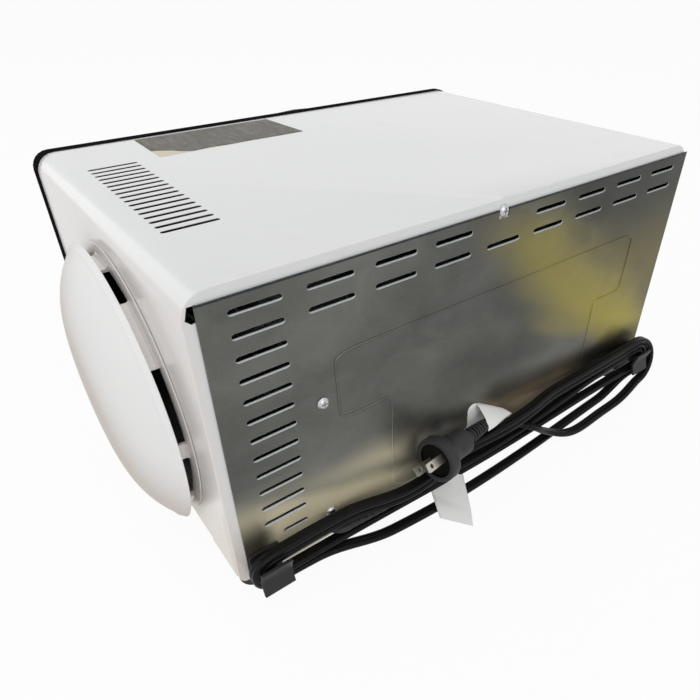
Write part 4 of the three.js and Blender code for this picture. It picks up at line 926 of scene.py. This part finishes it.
# Tag: bare paper behind the turns, between two edges. Its leaf lies on the rear sheet and its
# tail comes out below the cord
tagEdges = {
    "outer": [
        (-32, 0.5, 34.2), (-24.3, 0.5, 41.5), (-11.9, 0.5, 50.5), (-0.3, 0.5, 58.1), (8.5, 0.5, 63.2),
        (12.8, 0.5, 64.1), (16, 0.5, 62.8), (17.3, 0.5, 60), (17.2, 0.5, 56.5), (16, 0.5, 52),
        (14.8, 0.5, 48.3), (16, 0.5, 45.4), (20, 0.5, 43.2), (26, 0.5, 40.6), (33, 0.5, 37),
        (39.5, 0.6, 32.5), (45, 0.8, 27.5), (49, 1.2, 23.2), (53, 3.0, 18.5), (57.6, 8.0, 13.2),
        (58.7, 11.7, 10.5), (61.1, 17.8, 8.0), (62.7, 22.6, 5.0), (63.9, 26.8, 2.2),
    ],
    "inner": [
        (-31.5, 0.5, 29.1), (-22, 0.5, 30), (-12, 0.5, 30.5), (-4, 0.5, 30.8), (2, 0.5, 30.9), (6, 0.5, 30.6),
        (7.5, 0.5, 30.3), (8.8, 0.5, 30.1), (10, 0.5, 29.8), (11.2, 0.5, 29.4), (12.5, 0.5, 29),
        (14, 0.5, 28.3), (15.6, 0.5, 27.3), (17.2, 0.5, 26), (19.2, 0.6, 24.2), (21, 0.8, 22),
        (22.8, 1.4, 19.4), (24.8, 4.2, 15.4), (27.2, 9.5, 13.2), (32.8, 19.0, 10.5), (38.2, 28.1, 8.0),
        (43.7, 37.2, 5.0), (50.3, 46.3, 2.2),
    ],
    "thick": 0.3,
}


def makeTag():
    share = np.linspace(0, 1, 200)

    def evened(line):
        own = np.linspace(0, 1, len(line))
        return np.stack([np.interp(share, own, line[:, k]) for k in range(3)], 1)

    outer, inner = (evened(smoothLine(tagEdges[key], 0.5)) for key in ("outer", "inner"))
    across = np.linspace(0, 1, 15)[None, :, None]
    sheet = outer[:, None, :] + (inner - outer)[:, None, :] * across
    piece = gridPiece("paper_tag", sheet, paper, smooth=60.0)
    thicken(piece, tagEdges["thick"])
    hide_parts("cord_tag")
    return piece


# The paper is folded over the cord: a flap hangs from the leaf's upper edge, in front of the
# free end and behind the turns. Between its two edges the height falls evenly, and the share
# of the reach is sin(share) ** 0.8
tagFlapEdges = {
    "fold": [(9.6, 0.6, 63.7), (5, 0.6, 61.4), (-0.3, 0.6, 58.1), (-6, 0.6, 54.4), (-11.9, 0.7, 50.5),
             (-17.5, 1.6, 46.9), (-22.4, 3.6, 44.2)],
    "free": [(10.4, 15.8, 47.8), (4.4, 14.6, 46.6), (-1, 13.4, 45.6), (-6.5, 12, 44.9), (-12, 10.6, 44.2),
             (-17.5, 9.4, 43.6), (-22.9, 8.6, 43.3)],
}


def makeTagFlap():
    fold, free = (evenPath(smoothLine(tagFlapEdges[key], 0.5), 1.0)[:36] for key in ("fold", "free"))
    rows = min(len(fold), len(free))
    fold, free = fold[:rows, None, :], free[:rows, None, :]
    share = np.linspace(0, 1, 16)[None, :, None]
    lift = np.concatenate([share, np.sin(share * np.pi / 2) ** 0.8, share], axis=2)
    piece = gridPiece("tag_flap", fold + (free - fold) * lift, paper, smooth=60.0)
    thicken(piece, tagEdges["thick"])
    return piece


tag = makeTag()
tagFlap = makeTagFlap()


# Shell: the bent sheet gets a soft outer edge at the rear and fine edges round its vents

shellEdges = {
    "rearMm": 1.2,
    "nearMm": 0.25,
    "bevelMm": 1.5,
    "fineShare": 0.12,
}


def isSharp(edge):
    return len(edge.link_faces) == 2 and edge.calc_face_angle(0.0) > math.radians(35)


# True near the shell's outer outline, which is round in the top corners
def shellOuter(vertex):
    x, z = (vertex.co.x - originX) * 1000, vertex.co.z * 1000
    radius, near = shellBend["radius"], shellEdges["nearMm"]
    cornerX = max(radius - shellPlainSide - x, x - shellSide + radius, 0.0)
    cornerZ = max(z - shellTop + radius, 0.0)
    if cornerX and cornerZ:
        return math.hypot(cornerX, cornerZ) > radius - near
    return min(x + shellPlainSide, shellSide - x, shellTop - z, z - shellBend["low"]) < near


def shellWeights(edge):
    if not isSharp(edge):
        return 0.0
    rear = min(vertex.co.y for vertex in edge.verts) > originY - shellEdges["rearMm"] / 1000
    return 1.0 if rear and all(shellOuter(vertex) for vertex in edge.verts) else shellEdges["fineShare"]


finishedCopy("outer_shell", white, shellEdges["bevelMm"], 4, 34.0, shellWeights)


# Rear sheet: the faces inside the slots are lips, which shine all round and have rolled edges
# in front

sheetEdges = {
    "lipsWithin": 190.0,
    "lipsTilt": 0.3,
    "lipsUnder": panelTop - 3,
    "bevelMm": 0.7,
    "fineShare": 0.2,
}


def isLip(face):
    middle = face.calc_center_median()
    inside = abs(middle.x - originX) * 1000 < sheetEdges["lipsWithin"]
    steep = abs(face.normal.y) < sheetEdges["lipsTilt"]
    return inside and steep and middle.z * 1000 < sheetEdges["lipsUnder"]


def lipWeights(edge):
    if not isSharp(edge):
        return 0.0
    if not any(isLip(face) for face in edge.link_faces):
        return sheetEdges["fineShare"]
    return 1.0 if max(vertex.co.y for vertex in edge.verts) > originY - 0.0001 else 0.0


finishedCopy("rear_panel", zinc, sheetEdges["bevelMm"], 2, edgeWeights=lipWeights, lips=(zincEdge, isLip))


# Rolled lips inside the lower half of each slot. Across a lip, the rise is r * sin(a) and the
# depth is r * (1 - cos(a)); it grows and fades along the slot's round ends
slotSizes = {
    "long": 28.8,
    "high": 3.6,
    "columns": 9,
    "rows": 12,
    "sideInset": 29.0,
    "drop": 8.6,
    "foot": 27.2,
    "shortShare": 0.6,
    "lip": 0.85,
    "sunk": 0.02,
    "under": 0.1,
    "fade": 7.0,
}


def slotPlaces(sizes):
    panelLeft, panelFoot = (panelLow.x - originX) * 1000, panelLow.z * 1000
    half = (sizes["columns"] - 1) // 2
    top, long = panelTop - sizes["drop"], sizes["long"]
    pitchX = -(panelLeft + sizes["sideInset"]) / half
    pitchZ = (top - panelFoot - sizes["foot"]) / sizes["rows"]
    upper = [(k * pitchX, top, long) for k in range(-half, half + 1) if k]
    second = [(k * pitchX, top - pitchZ, long) for k in range(-half, half + 1)]
    column = [(half * pitchX, top - row * pitchZ, long) for row in range(2, sizes["rows"])]
    short = long * sizes["shortShare"]
    last = (half * pitchX - (long - short) / 2, top - sizes["rows"] * pitchZ, short)
    return [*upper, *second, *column, last]


def makeSlotLips(sizes):
    radius, lip, sunk, under = sizes["high"] / 2, sizes["lip"], sizes["sunk"], sizes["under"]
    turn = np.linspace(0, np.pi / 2, 6)
    rolled = np.stack([lip * (np.cos(turn) - 1) - sunk, lip * np.sin(turn) - 3 * sunk], 1)
    section = np.concatenate([rolled, [(-lip - sunk, -under), (-sunk, -under)]])
    angle = np.linspace(np.pi, 3 * np.pi / 2, 7)
    vertices, faces, count = [], [], 0
    for x, z, long in slotPlaces(sizes):
        reach = long / 2 - radius
        left = np.stack([x - reach + radius * np.cos(angle), 0 * angle, z + radius * np.sin(angle)], 1)
        right = left[::-1] * [-1, 1, 1] + [2 * x, 0, 0]
        line = evenPath(np.concatenate([left, right]), 0.9)
        share = np.linspace(-1, 1, len(line))
        points = sweptPoints(line, section, swell=ease(np.clip((1 - np.abs(share)) * sizes["fade"], 0.05, 1)))
        vertices.append(points.reshape(-1, 3))
        faces.append(gridFaces(*points.shape[:2], closeColumns=True) + count)
        count += len(vertices[-1])
    piece = newPiece("slot_lips", place(np.concatenate(vertices)), np.concatenate(faces), slotLip,
                     smooth=50.0)


makeSlotLips(slotSizes)
finishedCopy("vent_ring", white, 0.3, 2, 32.0)
print("shell and rear sheet made")


# Fan cover: a dish that is flat in the middle and falls steeply at its rim.
# x = rim + bulge * (1 - (r / radius) ** power), with a low bead near the rim, outside and again
# inside, joined by a round rim
def makeCover(sizes):
    radius, bulge, wall = sizes["radius"], sizes["bulge"], sizes["wall"]
    share = np.sin(np.linspace(0, np.pi / 2, 90))
    fall = 1 - share ** sizes["power"]
    bead = sizes["bead"] * np.exp(-(((1 - share) * radius - sizes["beadIn"]) / sizes["beadWide"]) ** 2)
    outer = np.stack([radius * share, bulge * fall + bead], 1)
    inner = np.stack([(radius - wall) * share, (bulge - wall) * fall], 1)
    turn = np.linspace(0, np.pi, 9)[1:-1]
    lip = np.stack([radius - wall / 2 * (1 - np.cos(turn)), -sizes["rimOut"] * np.sin(turn)], 1)
    profile = np.concatenate([outer, lip, inner[::-1]])
    points = turnedPoints(profile, (sizes["rimX"], *sizes["centre"][1:]), "x", 144)
    piece = gridPiece("fan_cover_dish", points, coverWhite, closeColumns=True, smooth=40.0)
    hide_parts("fan_cover")


makeCover(coverSizes)
print("fan cover made")


# Rear sheet's pressed outline: a low rounded bead

beadLines = {
    "outline": [
        (40, 186), (51.2, 186), (74, 183.4), (81.2, 180.8), (84.6, 178), (85.5, 173), (86.6, 112),
        (86.9, 106), (87.8, 101.6), (90, 99.9), (117, 99.8), (122.1, 99.3), (124.6, 97.4), (125.3, 94.2),
        (126.7, 60), (125.6, 56.4), (121, 54.6), (112, 53.4), (-136, 53.4), (-144, 54.4), (-148, 56.4),
        (-148.9, 60), (-148.3, 96), (-147.4, 100.2), (-144, 101.9), (-120, 101.4), (-116.6, 102.6),
        (-115.6, 106), (-115, 172), (-113, 180), (-106, 184.6), (-90, 186), (-60, 186),
    ],
    "radius": 0.9,
    "proud": 0.6,
}


def makeBead(lines):
    line = np.array([(x, 0.0, panelTop - drop) for x, drop in lines["outline"]])
    angle = circle(12)
    section = np.stack([lines["proud"] * np.sin(angle), lines["radius"] * np.cos(angle)], 1)
    piece = sweptPiece("pressed_outline", evenPath(line, 2.5), section, zinc, smooth=60.0)


makeBead(beadLines)


# Pressed relief low on the control side: a three-cornered field, its rings as (share of the
# outline, rise)

reliefField = {
    "corners": [(-4.0, 76.0), (-4.0, 18.0), (-41.0, 18.0)],
    "rings": [(1.0, -0.05), (0.96, 0.22), (0.9, 0.42), (0.82, 0.5), (0.4, 0.52), (0.0, 0.52)],
}


def makeSideRelief(field):
    corners = np.array(field["corners"])
    edge = evenPath(np.concatenate([corners, corners[:1]]), 2.0)[:-1]
    share, rise = np.array(field["rings"]).T[:, :, None]
    middle = corners.mean(axis=0)
    flat = middle + (edge - middle) * share[..., None]
    height = np.broadcast_to(shellSide + rise, flat.shape[:2])
    points = np.concatenate([height[..., None], flat], axis=-1)
    piece = gridPiece("side_relief", points, white, closeColumns=True, smooth=50.0)


makeSideRelief(reliefField)


# Label: a bare dark film on the top, whose torn corner and worn edge show the glue under it

labelSizes = {
    "corners": [(131.6, -268.8), (17.4, -267.9), (13.8, -211.7), (132.5, -210.5)],
    "proud": 0.16,
    "tear": 0.19,
    "tearDeep": 0.30,
    "wornDeep": 0.05,
    "ragged": 0.012,
    "glueProud": 0.07,
    "glueTo": 0.8,
    "glueFrom": 0.68,
}


# Points are the four corners blended over (u, v), from v = low to the height that top(u) gives
def labelPatch(name, reach, low, top, material, proud):
    u = np.linspace(0, reach, 28)[:, None, None] + np.zeros((1, 28, 1))
    v = low + (top(u) - low) * np.linspace(0, 1, 28)[None, :, None]
    a, b, c, d = np.array(labelSizes["corners"])
    flat = (1 - u) * (1 - v) * a + u * (1 - v) * b + u * v * c + (1 - u) * v * d
    piece = gridPiece(name, np.concatenate([flat, 0 * u + shellTop + proud], axis=-1), material)
    thicken(piece, proud * 0.9, -1)


def tornEdge(u):
    share = np.clip(1 - u / labelSizes["tear"], 0, 1)
    worn = np.clip(1 - u / labelSizes["glueTo"], 0, 1) * (0.6 + 0.4 * np.sin(u * 23))
    ragged = labelSizes["ragged"] * np.sin(u * 90) * (share > 0)
    return 1 - labelSizes["tearDeep"] * share**0.8 + ragged - labelSizes["wornDeep"] * worn


labelPatch("rating_film", 1.0, 0.0, tornEdge, film, labelSizes["proud"])
labelPatch("label_glue", labelSizes["glueTo"], labelSizes["glueFrom"], np.ones_like, glue,
           labelSizes["glueProud"])
print("label made")


# Other parts keep their solids' shapes, with fine edges and their own finishes

copies = [
    (blackPaint, 0.7, 3, ["front_frame"]),
    (doorBlack, 0.9, 3, ["door_frame"]),
    (blackPlastic, 0.5, 3, ["door_handle", "cord_cleat_control_side", "cord_cleat_plain_side"]),
    (plateSteel, 0.25, 2, ["control_panel"]),
    (plateSteel, 0.15, 2, ["crumb_tray"]),
    (darkSteel, 0.3, 2, ["bake_pan"]),
    (screwSteel, 0.15, 2, ["panel_screw_upper", "panel_screw_lower", "tab_screw"]),
    (blackRubber, 0.8, 3, ["foot_front_left", "foot_rear_left", "foot_front_right", "foot_rear_right"]),
    (amber, 0.4, 3, ["pilot_lamp"]),
]
for material, bevelMm, segments, nodes in copies:
    for node in nodes:
        finishedCopy(node, material, bevelMm, segments)

dressed = {
    zincInside: ["base_pan", "cavity_left_wall", "cavity_right_wall", "cavity_ceiling", "cavity_rear_wall",
                 "fan_guard", "fan_housing", "motor_bracket"],
    rackWire: ["wire_rack", "hinge_pin_left", "hinge_pin_right", "fan_blade", "fan_shaft"],
    darkSteel: ["timer", "function_switch", "thermostat", "motor_core", "cooling_blade"],
    quartz: ["heating_element_lower_front", "heating_element_lower_rear", "heating_element_upper_front",
             "heating_element_upper_rear"],
    copper: ["motor_coil"],
    pane: ["door_glass"],
}
for material, nodes in dressed.items():
    for node in nodes:
        dress(node, material)
print("solids dressed")


# Knobs: turned caps with fluted sides, a pointer line, and ticks on the plate round them

knobSizes = {
    "x": 158.0,
    "z": {"timer": 64.0, "function": 116.0, "temperature": 168.0},
    "radius": 18.0,
    "gripRadius": 13.2,
    "long": 17.0,
    "shaft": (3.0, 24.0),
    "flutes": 24,
    "fluteDeep": 0.45,
    "pointer": (1.4, 8.0, 0.35),
    "pointerFrom": 3.5,
    "sunk": 0.12,
    "gap": 0.3,
}
plateFace = (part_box("control_panel")[0].y - originY) * 1000


def knobProfile(front, back):
    grip, skirt = knobSizes["gripRadius"], knobSizes["radius"]
    shaft, reach = knobSizes["shaft"]
    return [
        (0, front + 0.5), (grip - 3.2, front + 0.5), (grip - 2.6, front + 0.1), (grip - 1.6, front),
        (grip - 0.6, front + 0.4), (grip, front + 1.4), (grip + 0.25, back - 8), (grip + 0.5, back - 4.6),
        (grip + 1.6, back - 3.6), (skirt - 1.2, back - 2.9), (skirt - 0.2, back - 2.2), (skirt, back - 1.4),
        (skirt, back - 0.2), (skirt - 0.3, back), (shaft, back), (shaft, back + reach), (0, back + reach)]


# Only the grip is fluted: radius = r * (1 - depth * |cos(flutes / 2 * angle)| ** 6)
def knobFlutes(points, angle):
    grip = knobSizes["gripRadius"]
    side = ((points[:, 0] > grip - 0.8) & (points[:, 0] < grip + 0.6)).astype(float)[:, None]
    wave = np.abs(np.cos(knobSizes["flutes"] / 2 * angle))[None, :] ** 6
    return 1 - side * wave * knobSizes["fluteDeep"] / grip


def makeKnob(name, x, z):
    back = plateFace - knobSizes["gap"]
    front = back - knobSizes["long"]
    points = turnedPoints(knobProfile(front, back), (x, 0, z), "y", 192, knobFlutes)
    piece = gridPiece(name + "_knob_cap", points, blackPlastic, closeColumns=True, body=name + "_knob",
                      smooth=38.0)
    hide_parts(name + "_knob")
    wide, long, thick = knobSizes["pointer"]
    u, v = np.meshgrid(np.linspace(-0.5, 0.5, 5) * wide, np.linspace(0, 1, 5) * long, indexing="ij")
    bar = np.stack([x + u, 0 * u + front - knobSizes["sunk"], z + knobSizes["pointerFrom"] + v], axis=-1)
    pointer = gridPiece(name + "_pointer", bar, paleInk, body=name + "_knob")
    thicken(pointer, thick)


tickSizes = {
    "from": 19.6,
    "longs": (3.6, 2.2),
    "halfWide": 0.35,
    "proud": 0.09,
    "thick": 0.11,
    "spans": {"timer": (0, 300, 13), "function": (0, 180, 5), "temperature": (0, 270, 10)},
}


# Ticks lie on circles round the knobs, each a thin bar: corner = middle + out * s + side * t.
# A span is its first angle, its last angle and its count
def makeTicks(sizes):
    corners, faces = [], []
    s, t, depth = (part.reshape(8, 1) for part in np.meshgrid([0, 1], [-1, 1], [0, 1], indexing="ij"))
    quads = np.array([(0, 1, 3, 2), (4, 6, 7, 5), (0, 4, 5, 1), (2, 3, 7, 6), (0, 2, 6, 4), (1, 5, 7, 3)])
    for name, span in sizes["spans"].items():
        middle = np.array([knobSizes["x"], plateFace - sizes["proud"], knobSizes["z"][name]])
        for k, angle in enumerate(np.radians(np.linspace(*span))):
            out = np.array([math.sin(angle), 0, math.cos(angle)])
            side = np.array([math.cos(angle), 0, -math.sin(angle)])
            faces.append(quads + 8 * len(corners))
            corners.append(middle + out * (sizes["from"] + sizes["longs"][k % 2] * s)
                           + side * sizes["halfWide"] * t + np.array([0, sizes["thick"], 0]) * depth)
    piece = newPiece("dial_ticks", place(np.concatenate(corners)), np.concatenate(faces), blackPaint,
                     smooth=20.0)


for name, z in knobSizes["z"].items():
    makeKnob(name, knobSizes["x"], z)
makeTicks(tickSizes)
print("knobs made")


# Floor, lights and background. The floor and the background shine on their own where they are
# seen, so that they are white, and less or not at all where they only light the oven

stageLook = {
    "floorHalf": 60.0,
    "floorZ": -0.0004,
    "floorColor": (0.86, 0.86, 0.86, 1.0),
    "floorGlow": 0.94,
    "skyLight": 0.40,
    "lamps": [
        ("topSoftbox", (0.1, -0.1, 1.9), (0, 0, 0), 1.9, 10.5),
        ("rearSoftbox", (0.5, 2.0, 1.1), (0, 0, 0.05), 1.6, 12.0),
        ("sideSoftbox", (1.9, 0.1, 0.9), (0, 0, 0.1), 1.3, 5.6),
        ("frontSoftbox", (1.3, -1.8, 0.9), (0, 0, 0.1), 1.6, 5.0),
    ],
}


def floorFinish(look):
    stage = Finish("paleFloor", Roughness=0.9)
    stage.set(Base_Color=look["floorColor"])
    glow = stage.value("Emission", {"Color": (1, 1, 1, 1), "Strength": 1.0})
    both = stage.value("MixShader", {0: stage.seen() * look["floorGlow"], 1: stage.wire(stage.surface),
                                     2: glow})
    stage.feed(stage.output.inputs["Surface"], both)
    return stage.material


def makeFloor(look):
    size = look["floorHalf"]
    mesh = bpy.data.meshes.new("floor")
    corners = [(-size, -size, 0), (size, -size, 0), (size, size, 0), (-size, size, 0)]
    mesh.from_pydata(corners, [], [(0, 1, 2, 3)])
    mesh.materials.append(floorFinish(look))
    floor = addObject("floor", mesh)
    floor.location.z = look["floorZ"]


def makeLights(look):
    for name, spot, target, size, watts in look["lamps"]:
        data = bpy.data.lights.new(name, "AREA")
        data.shape = "SQUARE"
        data.size = size
        data.energy = watts
        lamp = addObject(name, data)
        lamp.location = spot
        lamp.rotation_euler = (Vector(target) - Vector(spot)).to_track_quat("-Z", "Y").to_euler()


def makeSky(look):
    world = bpy.data.worlds.new("studio")
    bpy.context.scene.world = world
    world.use_nodes = True
    sky = Shader(world.node_tree)
    strength = sky.value("MapRange", {0: sky.seen(), 3: look["skyLight"], 4: 1.0})
    glow = sky.value("Background", {"Color": (1, 1, 1, 1), "Strength": strength})
    sky.node("OutputWorld", {"Surface": glow})


makeFloor(stageLook)
makeLights(stageLook)
makeSky(stageLook)
bpy.context.scene.view_settings.view_transform = "Standard"
print("stage made")

bpy.context.view_layer.update()
